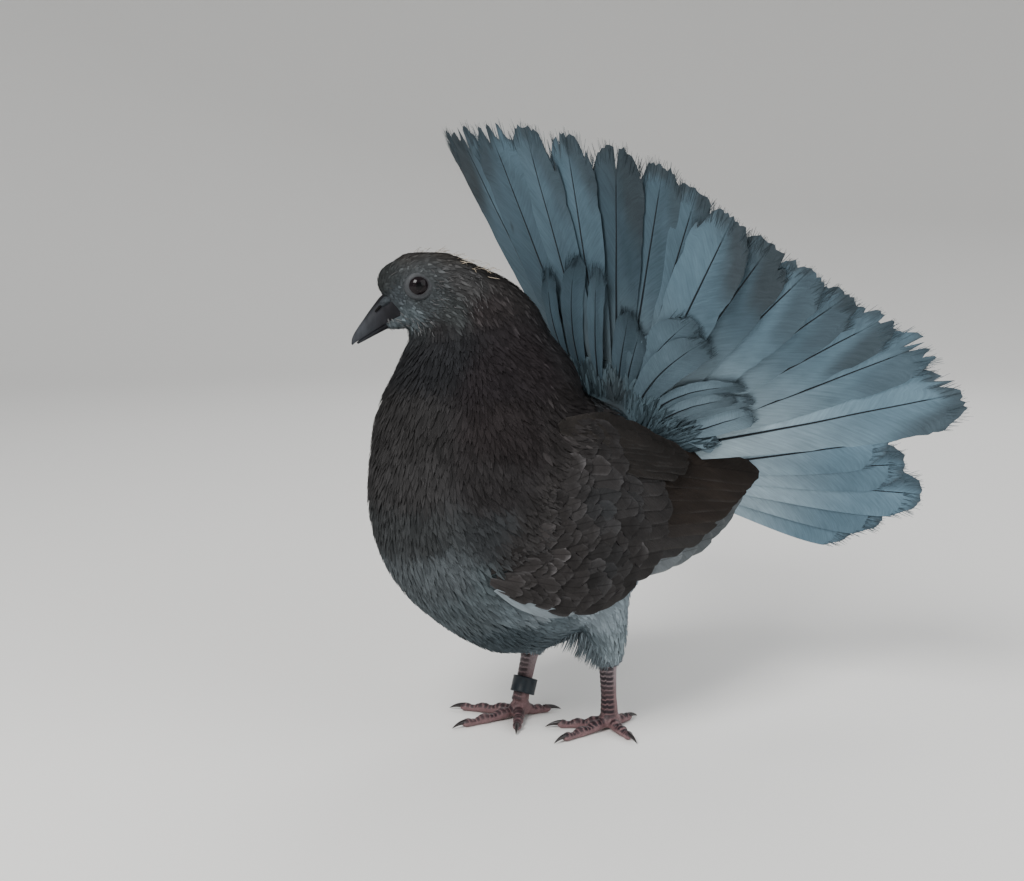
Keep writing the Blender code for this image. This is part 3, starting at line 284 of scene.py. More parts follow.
# Plumage colours at places of the left half: forward, left, up, then linear
# red, green and blue. The right half mirrors them.
TINTS = [
    (72, 6, 165, 0.013, 0.015, 0.0175), (60, 24, 160, 0.0135, 0.013, 0.015),
    (44, 25, 162, 0.015, 0.0142, 0.0162), (26, 18, 160, 0.02, 0.021, 0.0235),
    (14, 8, 158, 0.027, 0.033, 0.037), (84, 8, 142, 0.019, 0.0205, 0.022),
    (62, 34, 142, 0.0145, 0.0138, 0.015), (32, 34, 144, 0.018, 0.0178, 0.019),
    (92, 12, 122, 0.023, 0.025, 0.027), (72, 38, 122, 0.0165, 0.017, 0.0185),
    (92, 14, 102, 0.025, 0.03, 0.033), (74, 38, 100, 0.022, 0.0265, 0.03),
    (86, 18, 84, 0.058, 0.075, 0.086), (70, 36, 80, 0.056, 0.078, 0.09),
    (74, 20, 66, 0.058, 0.079, 0.092), (60, 36, 66, 0.09, 0.125, 0.148),
    (50, 20, 52, 0.034, 0.05, 0.061), (38, 34, 57, 0.07, 0.1, 0.12),
    (20, 20, 42, 0.04, 0.06, 0.074), (52, 42, 66, 0.26, 0.33, 0.38),
    (36, 44, 62, 0.24, 0.31, 0.36), (20, 42, 61, 0.19, 0.255, 0.3),
    (4, 40, 62, 0.17, 0.23, 0.27), (-4, 24, 46, 0.165, 0.225, 0.26),
    (-8, 20, 32, 0.15, 0.2, 0.235), (8, 16, 44, 0.11, 0.155, 0.185),
    (-28, 18, 72, 0.12, 0.17, 0.205), (40, 32, 138, 0.018, 0.018, 0.019),
    (14, 24, 138, 0.02, 0.02, 0.021), (-6, 18, 134, 0.026, 0.03, 0.033),
    (-22, 14, 127, 0.05, 0.083, 0.106), (-20, 27, 139, 0.052, 0.088, 0.112),
    (-13, 2, 148, 0.052, 0.086, 0.108), (-40, 16, 118, 0.056, 0.098, 0.126),
    (-34, 36, 128, 0.062, 0.102, 0.13), (-60, 2, 136, 0.13, 0.185, 0.22),
    (-42, 18, 96, 0.13, 0.18, 0.215)
]
# The same in the head's frame.
HEAD_TINTS = [
    (24, 2, 2, 0.022, 0.027, 0.0288), (16, 3, 12, 0.0253, 0.027, 0.027),
    (3, 3, 13, 0.0275, 0.028, 0.027), (-12, 4, 10, 0.0176, 0.018, 0.0186),
    (12.9, 10, 0, 0.0396, 0.048, 0.053), (9, 11, -5, 0.0363, 0.046, 0.0521),
    (2, 13, -9, 0.0253, 0.031, 0.0335), (-4, 12, 2, 0.0297, 0.033, 0.0353),
    (17, 5, -12, 0.068, 0.093, 0.108), (20, 5, -4, 0.0396, 0.052, 0.0614),
    (11, 4, -17, 0.022, 0.027, 0.0298), (-10, 11, -8, 0.0187, 0.018, 0.0195),
    (4, 8, -16, 0.0165, 0.017, 0.0186)
]
# Lie of the coat at places of the left half: forward, left, up, then direction.
LIES = [
    (72, 10, 165, -0.1, 0.1, -1), (46, 22, 165, -0.3, 0.2, -1), (18, 8, 165, -0.25, 0.1, -1),
    (82, 12, 145, 0.25, 0.1, -1), (50, 34, 148, -0.3, 0.3, -1), (14, 16, 148, -0.5, 0.1, -1),
    (92, 10, 115, -0.1, 0.15, -1), (84, 30, 100, -0.5, 0.4, -0.9), (84, 12, 80, -0.8, 0.1, -0.7),
    (60, 38, 76, -1, 0.1, -0.5), (60, 14, 56, -1, 0, -0.35), (24, 14, 40, -1, 0.1, -0.1),
    (20, 42, 66, -0.9, 0, -0.6), (-4, 30, 56, -0.35, 0, -1), (-6, 20, 34, -0.2, 0, -1),
    (-24, 20, 70, -0.9, 0.1, -0.3), (30, 30, 138, -1, 0.25, -0.35),
    (0, 18, 136, -1, 0.15, -0.15), (-24, 14, 127, -0.9, 0.25, 0.35),
    (-40, 14, 116, -0.7, 0.3, 0.8), (-40, 16, 92, -1, 0.2, 0.1)
]
# The same in the head's frame.
HEAD_LIES = [
    (25, 2, 4, -0.6, 0, 0.8), (16, 3, 12, -1, 0, 0.15), (2, 3, 13, -1, 0, -0.2),
    (-14, 4, 6, -0.6, 0.1, -0.9), (20, 7, -2, -1, 0.4, -0.2), (12, 11, -7, -1, 0.2, -0.45),
    (4, 13, -4, -1, 0.1, -0.45), (16, 5, -13, -0.8, 0.2, -0.6), (8, 5, -20, -0.2, 0.1, -1),
    (-6, 12, -8, -0.6, 0.2, -1)
]
# Wing colours by tier: the vane, and its rim.
WING_INNER = {"primary": (0.092, 0.116, 0.132), "secondary": (0.015, 0.0125, 0.0108),
              "covert": (0.02, 0.0205, 0.0215), "scapular": (0.017, 0.0165, 0.016)}
WING_OUTER = {"primary": (0.15, 0.18, 0.195), "secondary": (0.03, 0.029, 0.0285),
              "covert": (0.033, 0.035, 0.0375), "scapular": (0.03, 0.0305, 0.031)}
# What the lowest secondaries have of blue, and the small coverts' colours.
SECONDARY_BLUE = (0.008, 0.013, 0.017)
COVERT_INNER, COVERT_INNER_BLUE = (0.0195, 0.0198, 0.0208), (0.018, 0.03, 0.038)
COVERT_OUTER, COVERT_OUTER_BLUE = (0.04, 0.0425, 0.046), (0.03, 0.045, 0.055)
# Bluish patches of the small coverts: forward, up, size and strength.
WING_PATCHES = [
    (58, 112, 5.5, 1.2), (57, 108, 3.5, 0.8), (66, 95, 4, 0.8), (28, 104, 8, 0.35),
    (2, 106, 9, 0.4), (24, 80, 7, 0.25)
]
# Tail vane, its pale root, its dark end band, and then each other part's colours.
TAIL_VANE, TAIL_PALE = (0.06, 0.108, 0.146), (0.15, 0.215, 0.255)
TAIL_BAND, QUILL_TINT = (0.028, 0.038, 0.045), (0.014, 0.02, 0.026)
UNDER_WING_TINT, HEM_TINT = (0.17, 0.225, 0.262), (0.15, 0.205, 0.24)
PUPIL, IRIS = (0.0015, 0.0015, 0.002), (0.0075, 0.0055, 0.0065)
LID_INNER, LID_OUTER = (0.012, 0.012, 0.014), (0.032, 0.035, 0.039)
# The bill's pale edge colour is a painted highlight along its edges towards the tip.
BILL_DARK, BILL_HIGHLIGHT = (0.01, 0.01, 0.012), (0.034, 0.038, 0.044)
# The nostrils' near-black colour is painted shade for the dark inside of their openings.
CERE_TINT, NOSTRIL_SHADE = (0.036, 0.042, 0.048), 0.004
CLAW_TIP, CLAW_ROOT = (0.03, 0.024, 0.024), (0.016, 0.012, 0.013)
FOOT_PINK, SHANK_PINK = (0.175, 0.1, 0.104), (0.24, 0.185, 0.195)
SCUTE_TINT, RING_TINT = (0.011, 0.006, 0.01), (0.01, 0.018, 0.026)

# Studio, in metres: where the floor starts to rise, where it ends and how high.
FLOOR_FLAT, FLOOR_END, FLOOR_RISE = 1.5, 3.0, 1.7
FLOOR_COLOUR = (0.86, 0.85, 0.83, 1.0)
WORLD_COLOUR, WORLD_STRENGTH = (0.84, 0.86, 0.88, 1.0), 0.4
# Lights: name, place, power, size and colour. All point at LIGHT_AIM.
LIGHTS = [("key", (0.35, -1.05, 1.0), 23.0, 0.55, (1.0, 0.99, 0.97)),
          ("fill", (1.2, 0.3, 0.75), 8.5, 1.2, (0.95, 0.98, 1.0)),
          ("rim", (-0.6, 1.1, 1.2), 10.0, 1.0, (1.0, 1.0, 1.0))]
LIGHT_AIM = (0.0, 0.0, 0.13)
# The photo's camera: place in the bird's frame, turn, sensor, and the photo's width, middle
# row, horizon's row and focal length in pixels.
CAMERA_AT = (435.3, 483.3, 215.5)
CAMERA_TURN = math.radians(40.0)
SENSOR, PHOTO_WIDTH = 36.0, 1024.0
MIDDLE_ROW, HORIZON_ROW, FOCAL_PIXELS = 440.5, 220.0, 1550.0


def turned(points, angle):
    """Points turned to the bird's right about the upright axis."""
    forward, left, up = np.moveaxis(points, -1, 0)
    return np.stack((forward * math.cos(angle) + left * math.sin(angle),
                     left * math.cos(angle) - forward * math.sin(angle), up), -1)


def head_point(forward, left, up):
    """The bird frame's points for ones of the head's frame."""
    places = (np.asarray(value, float) for value in (forward, left, up))
    return HEAD_ORIGIN + turned(np.stack(np.broadcast_arrays(*places), -1), HEAD_TURN)


def to_head(points):
    """The head's frame for points of the bird's."""
    return turned(points - HEAD_ORIGIN, -HEAD_TURN)


EYE_LOW, EYE_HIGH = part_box("eye_left")
EYE_AT = head_point(*EYE_IN_HEAD)
SHIFT = (np.array((EYE_LOW + EYE_HIGH) / 2)
         - np.array((EYE_AT[1], -EYE_AT[0], EYE_AT[2])) * MILLIMETRE)


def to_row(points):
    """Row coordinates in metres for bird frame points in millimetres."""
    points = np.asarray(points, float).reshape(-1, 3)
    return np.stack((points[:, 1], -points[:, 0], points[:, 2]), 1) * MILLIMETRE + SHIFT


def to_bird(points):
    """Bird frame points in millimetres for row coordinates in metres."""
    points = (np.asarray(points, float) - SHIFT) / MILLIMETRE
    return np.stack((-points[:, 1], points[:, 0], points[:, 2]), 1)


def unit(vectors):
    """The vectors at length one."""
    return vectors / np.maximum(np.linalg.norm(vectors, axis=-1, keepdims=True), 1e-9)


def square_to(vectors, normals):
    """The vectors' directions at right angles to the normals."""
    return unit(vectors - (vectors * normals).sum(-1, keepdims=True) * normals)


def mix(first, second, share):
    """A blend from the first value to the second, by share."""
    return first * (1 - share) + second * share


def grid(rows, cols):
    """Shares from a leaf's root to its tip, and places across it from -1 to 1."""
    return np.linspace(0, 1, rows)[:, None], np.linspace(-1, 1, cols)[None, :]


def circle(sides):
    """Even angles round a full turn."""
    return np.linspace(0, 2 * math.pi, sides, endpoint=False)


def curve(rows, keys):
    """Each column of rows at the keys, on a smooth curve through rows sorted by their first."""
    rows = np.array(sorted(rows), float)
    at = rows[:, 0]
    keys = np.clip(np.asarray(keys, float), at[0], at[-1])
    low = np.clip(np.searchsorted(at, keys, "right") - 1, 0, len(at) - 2)
    before = np.maximum(np.arange(len(at)) - 1, 0)
    after = np.minimum(np.arange(len(at)) + 1, len(at) - 1)
    slopes = (rows[after] - rows[before]) / (at[after] - at[before])[:, None]
    span = (at[low + 1] - at[low])[..., None]
    share = (keys - at[low])[..., None] / span
    square, cube = share ** 2, share ** 3
    value = (rows[low] * (2 * cube - 3 * square + 1) + rows[low + 1] * (3 * square - 2 * cube)
             + slopes[low] * span * (cube - 2 * square + share)
             + slopes[low + 1] * span * (cube - square))
    return np.moveaxis(value[..., 1:], -1, 0)


def ramp(values, low, high):
    """A smooth rise from 0 at low to 1 at high."""
    share = np.clip((np.asarray(values, float) - low) / (high - low), 0.0, 1.0)
    return share * share * (3 - 2 * share)


def wavy(values, seed):
    """Smooth irregular waves between about -1 and 1."""
    values = np.asarray(values, float)
    return (np.sin(values * 2.1 + seed * 3.7) + np.sin(values * 4.7 + seed * 9.1) * 0.6
            + np.sin(values * 9.3 + seed * 5.3) * 0.35) / 1.95


def spread(rows, count):
    """As many rows as count, evenly along a smooth curve through the given ones."""
    table = [(index,) + row for index, row in enumerate(rows)]
    return curve(table, np.linspace(0, len(rows) - 1, count)).T


def guided(table, points, sided=False):
    """Values of a table of places, mirrored in the middle plane, blended at the points."""
    soft, fall, batch = 10.0, 2.8, 20000
    table = np.array(table, float)
    mirror = np.array((1, -1, 1, 1, -1 if sided else 1, 1))
    table = np.concatenate((table, table * mirror))
    values = np.zeros((len(points), 3))
    for start in range(0, len(points), batch):
        part = points[start:start + batch]
        apart = ((part[:, None, :] - table[None, :, :3]) ** 2).sum(-1)
        weights = (1.0 / (apart + soft) ** fall)[..., None]
        values[start:start + batch] = (weights * table[None, :, 3:]).sum(1) / weights.sum(1)
    return values


def eye_gap(head):
    """How far points of the head's frame lie from the eye's middle, seen from the side."""
    return np.hypot(head[..., 0] - EYE_IN_HEAD[0], head[..., 2] - EYE_IN_HEAD[2])


def wing_front(height):
    """How far forward a wing's front edge lies at a height."""
    return np.interp(height, *zip(*WING_FRONT))


def link(thing):
    """The object, now in the scene."""
    bpy.context.scene.collection.objects.link(thing)
    return thing


def new_piece(name, mesh, surface):
    """An object for a mesh, in the scene, with its surface, riding on the body."""
    piece = link(bpy.data.objects.new(name, mesh))
    mesh.materials.clear()
    mesh.materials.append(surface)
    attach(piece, "root")
    return piece


def mark(mesh, tints, vanes=None):
    """Point attributes that the surfaces read: a colour, and across, along and seed."""
    colours = np.ones((len(mesh.vertices), 4), np.float32)
    colours[:, :3] = tints
    mesh.color_attributes.new("tint", "FLOAT_COLOR", "POINT").data.foreach_set(
        "color", colours.ravel())
    if vanes is not None:
        mesh.attributes.new("vane", "FLOAT_VECTOR", "POINT").data.foreach_set(
            "vector", np.asarray(vanes, np.float32).ravel())


def leaf_faces(rows, cols):
    """Faces of a closed leaf: a top grid, and an underside that shares its rim."""
    top = np.arange(rows * cols).reshape(rows, cols)
    under = top.copy()
    under[1:-1, 1:-1] = rows * cols + np.arange((rows - 2) * (cols - 2)).reshape(rows - 2, -1)
    faces = []
    for grid, flip in ((top, False), (under, True)):
        quads = np.stack((grid[:-1, :-1], grid[:-1, 1:], grid[1:, 1:], grid[1:, :-1]), -1)
        quads = quads.reshape(-1, 4)
        faces.append(quads[:, ::-1] if flip else quads)
    return np.concatenate(faces)


def leaves(name, grids, tints, surface, patch, size=TUFT_PATCH, crisp=True, base=None):
    """Closed leaves over pairs of top and under grids, as one piece.

    patch is each root's place in OFBake and size a leaf's width there. crisp keeps the
    rims sharp, and base turns the shading towards the body's own normals.
    """
    tops, unders = (np.array(part, float) for part in grids)
    tints = np.array(tints, float) * WARMTH
    count, rows, cols = shape = tops.shape[:3]
    across = np.broadcast_to(np.linspace(-1, 1, cols), shape).copy()
    along = np.broadcast_to(np.linspace(0, 1, rows)[:, None], shape)
    row, col = rows // 2, cols // 2
    spot = tops[:, row, col]
    facing = np.cross(tops[:, row, col + 1] - spot, tops[:, row + 1, col] - spot)
    flip = (facing * (spot - unders[:, row, col])).sum(-1) < 0
    for array in (tops, unders, tints, across):
        array[flip] = array[flip][:, :, ::-1]
    seeds = np.broadcast_to(DRAW.random(count)[:, None, None], shape)
    marks = np.stack((across, along, seeds), -1)
    inner = (slice(None), slice(1, -1), slice(1, -1))
    points, marks, tints = (
        np.concatenate((top.reshape(count, -1, 3), under[inner].reshape(count, -1, 3)), 1)
        .reshape(-1, 3) for top, under in ((tops, unders), (marks, marks), (tints, tints)))
    each = len(points) // count
    pattern = leaf_faces(rows, cols)
    faces = (pattern[None] + (np.arange(count) * each)[:, None, None]).reshape(-1, 4)
    mesh = bpy.data.meshes.new(name)
    mesh.vertices.add(len(points))
    mesh.vertices.foreach_set("co", to_row(points).astype(np.float32).ravel())
    mesh.loops.add(faces.size)
    mesh.loops.foreach_set("vertex_index", faces.ravel().astype(np.int32))
    mesh.polygons.add(len(faces))
    mesh.polygons.foreach_set("loop_start", np.arange(0, faces.size, 4, dtype=np.int32))
    mesh.update(calc_edges=True)
    mesh.shade_smooth()
    if crisp:
        local = np.arange(rows * cols).reshape(rows, cols)
        rim = np.zeros(each, bool)
        for line in (local[0], local[-1], local[:, 0], local[:, -1]):
            rim[line] = True
        ends = np.zeros(len(mesh.edges) * 2, np.int32)
        mesh.edges.foreach_get("vertices", ends)
        sharp = rim[ends.reshape(-1, 2) % each].all(1)
        mesh.attributes.new("sharp_edge", "BOOLEAN", "EDGE").data.foreach_set("value", sharp)
    mark(mesh, tints, marks)
    flat = np.stack((marks[:, 0] * 0.5, marks[:, 1]), 1) * size
    bake_map(mesh, np.repeat(np.asarray(patch, float), each, axis=0) + flat)
    if base is not None:
        upper = pattern[:len(pattern) // 2]
        corners = tops.reshape(count, -1, 3)
        first = corners[:, upper[:, 0]]
        faced = unit(np.cross(corners[:, upper[:, 1]] - first, corners[:, upper[:, 3]] - first))
        blend = unit(mix(faced[:, :, None], base[:, upper // cols], COAT_SMOOTH))
        blend = np.concatenate((blend, -blend), 1).reshape(-1, 3)
        mesh.normals_split_custom_set(np.stack((blend[:, 1], -blend[:, 0], blend[:, 2]), 1))
    return new_piece(name, mesh, surface)


def bake_map(mesh, places):
    """The mesh's OFBake map, from a place for each of its points."""
    corners = np.zeros(len(mesh.loops), np.int32)
    mesh.loops.foreach_get("vertex_index", corners)
    mesh.uv_layers.new(name="OFBake").uv.foreach_set(
        "vector", places[corners].astype(np.float32).ravel())


class Surface:
    """A material that is being built over the tint that its mesh carries."""

    def __init__(self, name, rough, gloss):
        self.material = bpy.data.materials.new(name)
        self.material.use_nodes = True
        self.tree = self.material.node_tree
        self.shader = self.tree.nodes["Principled BSDF"]
        self.shader.inputs["Roughness"].default_value = rough
        self.shader.inputs["Specular IOR Level"].default_value = gloss

    def add(self, kind, inputs, operation=None):
        """A new node's outputs, for its inputs as numbers or other nodes' outputs."""
        node = self.tree.nodes.new("ShaderNode" + kind)
        if operation:
            node.operation = operation
        for key, value in inputs.items():
            if isinstance(value, bpy.types.NodeSocket):
                self.tree.links.new(value, node.inputs[key])
            else:
                node.inputs[key].default_value = value
        return node.outputs

    def sum(self, operation, *values):
        """The result of an operation on values."""
        return self.add("Math", dict(enumerate(values)), operation)[0]

    def carried(self, name):
        """An attribute that the mesh carries."""
        node = self.tree.nodes.new("ShaderNodeAttribute")
        node.attribute_name = name
        return node.outputs

    def noise(self, vector, scale, detail, roughness=0.5):
        """Noise at a place."""
        return self.add("TexNoise", {"Vector": vector, "Scale": scale, "Detail": detail,
                                     "Roughness": roughness})["Fac"]

    def finished(self, light, relief, strength, distance):
        """The material: its tint, times a light, with a relief."""
        colour = self.add("VectorMath", {0: self.carried("tint")["Color"], "Scale": light},
                          "SCALE")[0]
        normal = self.add("Bump", {"Strength": strength, "Distance": distance,
                                   "Height": relief})[0]
        self.tree.links.new(colour, self.shader.inputs["Base Color"])
        self.tree.links.new(normal, self.shader.inputs["Normal"])
        return self.material


def feather_surface(name, rate, slant, shaft, rough, bump, blotch, gloss=0.1):
    """A vane's surface: its own tint, barbs that slant off the shaft, and fine mottling."""
    made = Surface(name, rough, gloss)
    across, along, seed = made.add("SeparateXYZ", {0: made.carried("vane")["Vector"]})
    aside = made.sum("ABSOLUTE", across)
    barb = made.sum("ADD", made.sum("MULTIPLY", along, rate), made.sum("MULTIPLY", aside, -slant))
    where = made.add("CombineXYZ", {0: barb, 1: made.sum("MULTIPLY", across, 1.6),
                                    2: made.sum("MULTIPLY", seed, 91.0)})[0]
    streak = made.noise(where, 1.0, 3.0, 0.7)
    mottle = made.noise(made.add("TexCoord", {})["Object"], 95.0, 4.0, 0.55)
    light = made.sum("ADD", made.sum("MULTIPLY", streak, 0.7),
                     made.sum("MULTIPLY", mottle, blotch * 2))
    light = made.sum("ADD", light, 1.0 - 0.35 - blotch)
    on_shaft = made.sum("LESS_THAN", aside, shaft)
    light = made.sum("SUBTRACT", light, made.sum("MULTIPLY", on_shaft, 0.35))
    return made.finished(light, streak, bump, 0.0004)


def grain_surface(name, scale, rough, gloss, depth, spread=0.5, stretch=(1, 1, 1)):
    """A bare surface: its own tint, broken up by grain that may run along one axis."""
    made = Surface(name, rough, gloss)
    place = made.add("TexCoord", {})["Object"]
    grain = made.noise(made.add("Mapping", {"Vector": place, "Scale": stretch})[0], scale, 5.0)
    light = made.add("MapRange", {"Value": grain, "To Min": 1.0 - spread,
                                  "To Max": 1.0 + spread})[0]
    return made.finished(light, grain, 0.5, depth)


def ring_faces(rows, count, closed=False):
    """Quads between neighbouring rings of points, and back to the first ring where closed."""
    faces = []
    for row in range(rows if closed else rows - 1):
        low, high = row * count, (row + 1) % rows * count
        for step in range(count):
            turn = (step + 1) % count
            faces.append((low + step, low + turn, high + turn, high + step))
    return faces


def loft(rings):
    """Points and faces of a closed skin over rings, with a pole at each end."""
    rings = np.asarray(rings, float)
    rows, count = rings.shape[:2]
    points = np.concatenate((rings.reshape(-1, 3), rings[:1].mean(1), rings[-1:].mean(1)))
    faces, last = ring_faces(rows, count), (rows - 1) * count
    for step in range(count):
        turn = (step + 1) % count
        faces.append((turn, step, rows * count))
        faces.append((last + step, last + turn, rows * count + 1))
    return points, faces


def hoop(rings):
    """Points and faces of a closed tube over rings that come back to the first."""
    rings = np.asarray(rings, float)
    return rings.reshape(-1, 3), ring_faces(*rings.shape[:2], True)


def ball(centre, radii, sides=32):
    """Points and faces of an ellipsoid."""
    rise = np.linspace(-math.pi / 2, math.pi / 2, sides // 2 + 1)[1:-1, None]
    turn = circle(sides)[None, :]
    shape = np.stack((np.cos(rise) * np.cos(turn), np.cos(rise) * np.sin(turn),
                      np.sin(rise) * np.ones_like(turn)), -1)
    points, faces = loft(np.asarray(centre) + shape * np.asarray(radii))
    points[-2] = np.asarray(centre) - (0, 0, radii[2])
    points[-1] = np.asarray(centre) + (0, 0, radii[2])
    return points, faces


def head_ball(centre, radii, pitch, sides=24):
    """Points and faces of an ellipsoid set in the head's frame, pitched nose down."""
    points, faces = ball((0.0, 0.0, 0.0), radii, sides)
    pitch = math.radians(pitch)
    forward = points[:, 0] * math.cos(pitch) + points[:, 2] * math.sin(pitch)
    up = points[:, 2] * math.cos(pitch) - points[:, 0] * math.sin(pitch)
    return head_point(centre[0] + forward, centre[1] + points[:, 1], centre[2] + up), faces


def solid(shapes, voxel=None, rounds=0):
    """A mesh round closed shapes, which overlap where a voxel size in mm fuses them."""
    data = bmesh.new()
    for points, faces in shapes:
        vertices = [data.verts.new(point) for point in to_row(points)]
        for face in faces:
            data.faces.new([vertices[index] for index in face])
    bmesh.ops.recalc_face_normals(data, faces=data.faces)
    mesh = bpy.data.meshes.new("solid")
    data.to_mesh(mesh)
    data.free()
    if voxel:
        piece = link(bpy.data.objects.new("solid", mesh))
        fuse = piece.modifiers.new("fuse", "REMESH")
        fuse.mode = "VOXEL"
        fuse.voxel_size = voxel * MILLIMETRE
        piece.modifiers.new("soften", "SMOOTH").iterations = rounds
        graph = bpy.context.evaluated_depsgraph_get()
        mesh = bpy.data.meshes.new_from_object(piece.evaluated_get(graph))
        bpy.data.objects.remove(piece)
    mesh.shade_smooth()
    return mesh


def mesh_points(mesh):
    """A mesh's points in the bird frame."""
    points = np.zeros(len(mesh.vertices) * 3)
    mesh.vertices.foreach_get("co", points)
    return to_bird(points.reshape(-1, 3))


def tree_of(mesh):
    """A search tree of a mesh in the bird frame."""
    return BVHTree.FromPolygons([Vector(point) for point in mesh_points(mesh)],
                                [tuple(face.vertices) for face in mesh.polygons])


def strip(line, across, widths, normal, thick):
    """Top and under grids of a thin strip along a line, three points wide."""
    spread_out = across * (np.asarray(widths)[:, None] * (-1.0, 0.0, 1.0))[..., None]
    top = line[..., :, None, :] + spread_out + normal * (thick / 2)
    return top, top - normal * thick


def torso_side(forward, height):
    """How far the torso's side lies from the middle plane."""
    middle, _, length, width, _, blunt = curve(BODY_SLICES, height)
    along = (forward - middle) / np.maximum(length, 1.0)
    return np.where(abs(along) < 1, width * np.sqrt(np.clip(1 - along ** 2, 0, 1))
                    * (1 + blunt * along), 0.0)


def wing_at(side, forward, height, depth):
    """Points of a wing, at a depth below its face, which stands clear of the torso."""
    low, high, out, top_in, low_in = curve(WING_STATIONS, forward)
    rise = (height - low) / (high - low)
    upper = np.clip(rise - WING_MIDDLE, 0, None) / (1 - WING_MIDDLE)
    lower = np.clip(WING_MIDDLE - rise, 0, None) / WING_MIDDLE
    across = out - top_in * upper ** 2 - low_in * lower ** 2
    across = np.maximum(across, torso_side(forward, height) + WING_PROUD)
    return np.stack(np.broadcast_arrays(forward, side * (across - depth), height), -1)


def fan_direction(turn, half_angle):
    """Directions of tail feathers at turns about the fan's axis."""
    turn, half_angle = np.radians(turn), np.radians(half_angle)
    axis = np.array((-math.cos(TAIL_AXIS_RISE), 0.0, math.sin(TAIL_AXIS_RISE)))
    front = np.array((math.sin(TAIL_AXIS_RISE), 0.0, math.cos(TAIL_AXIS_RISE)))
    out = front * np.cos(turn)[..., None] + np.array((0.0, 1.0, 0.0)) * np.sin(turn)[..., None]
    return axis * np.cos(half_angle)[..., None] + out * np.sin(half_angle)[..., None]


def fan_at(turn, half_angle, reach, lift):
    """Points of the fan, lifted off its surface towards the bird's head."""
    turn, half_angle, reach, lift = np.broadcast_arrays(turn, half_angle, reach, lift)
    normal = unit(fan_direction(turn, half_angle + 0.5) - fan_direction(turn, half_angle - 0.5))
    return (TAIL_CENTRE + fan_direction(turn, half_angle) * reach[..., None]
            + normal * lift[..., None])


def on_head(points):
    """How far each point belongs to the head, from 0 to 1."""
    head = to_head(points)
    return ramp(head[:, 2] + 0.25 * head[:, 0], -20.0, -12.0)


def body_patch(points):
    """Each point's place on an unwrap of the body round its own height."""
    forward, left, up = points.T
    middle = curve(BODY_SLICES, up)[0]
    return np.stack((0.02 + 0.6 * (np.arctan2(left, forward - middle) / (2 * math.pi) + 0.5),
                     0.02 + 0.9 * np.clip((up - 22.0) / 184.0, 0, 1)), 1)


def level_rings(middle, left, length, width, heights, sides):
    """Level ovals, one over another."""
    middle, left, length, width, heights = (
        value[:, None] for value in (middle, left, length, width, heights))
    angle = circle(sides)[None, :]
    return np.stack((middle + length * np.cos(angle), left + width * np.sin(angle),
                     heights + 0 * angle), -1)


def build_skin():
    """The mesh of one skin for the flesh: body, head, wings' and tail's roots, and thighs."""
    heights = np.concatenate((np.arange(38.6, 200.0, 2.4), (201.0, 202.6)))
    middle, left, length, width, turn, blunt = curve(BODY_SLICES, heights)
    depth = curve(COAT_DEPTH, heights)[0]
    angle = circle(64)[None, :]
    along = np.maximum(length - depth, 0.6)[:, None] * np.cos(angle)
    across = (np.maximum(width - depth, 0.5)[:, None] * np.sin(angle)
              * (1 + blunt[:, None] * np.cos(angle)))
    turn = np.radians(turn)[:, None]
    rings = np.stack((middle[:, None] + along * np.cos(turn) + across * np.sin(turn),
                      left[:, None] - along * np.sin(turn) + across * np.cos(turn),
                      heights[:, None] + 0 * along), -1)
    shapes = [loft(rings)] + [head_ball(*row) for row in HEAD_BALLS]
    for side in (1, -1):
        rings = []
        for forward, deep, thick, low_share, high_share in WING_CORE:
            low, high = curve(WING_STATIONS, forward)[:2]
            height = low + (high - low) * np.linspace(low_share, high_share, 14)
            rings.append(np.concatenate((wing_at(side, forward, height, deep),
                                         wing_at(side, forward, height, deep + thick)[::-1])))
        shapes.append(loft(rings))
        keys = np.linspace(THIGHS[side][-1][0] + 0.3, THIGHS[side][0][0], 18)
        forward, aside, long, wide = curve(THIGHS[side], keys)
        inset = np.minimum(THIGH_DEPTH, (keys - keys[0]) * 0.4 + 0.5)
        shapes.append(loft(level_rings(forward, aside, long - inset, wide - inset, keys, 40)))
    shapes.append(ball(*RUMP_BALL))
    rings = []
    reach, thick = np.array(FAN_ROOT).T
    for turn in np.linspace(TAIL_FAN[0][0], TAIL_FAN[-1][0], 60):
        half_angle = curve(TAIL_FAN, turn)[0]
        rings.append(np.concatenate((fan_at(turn, half_angle, reach, thick),
                                     fan_at(turn, half_angle, reach, -thick)[::-1])))
    shapes.append(loft(rings))
    return solid(shapes, SKIN_VOXEL, 3)


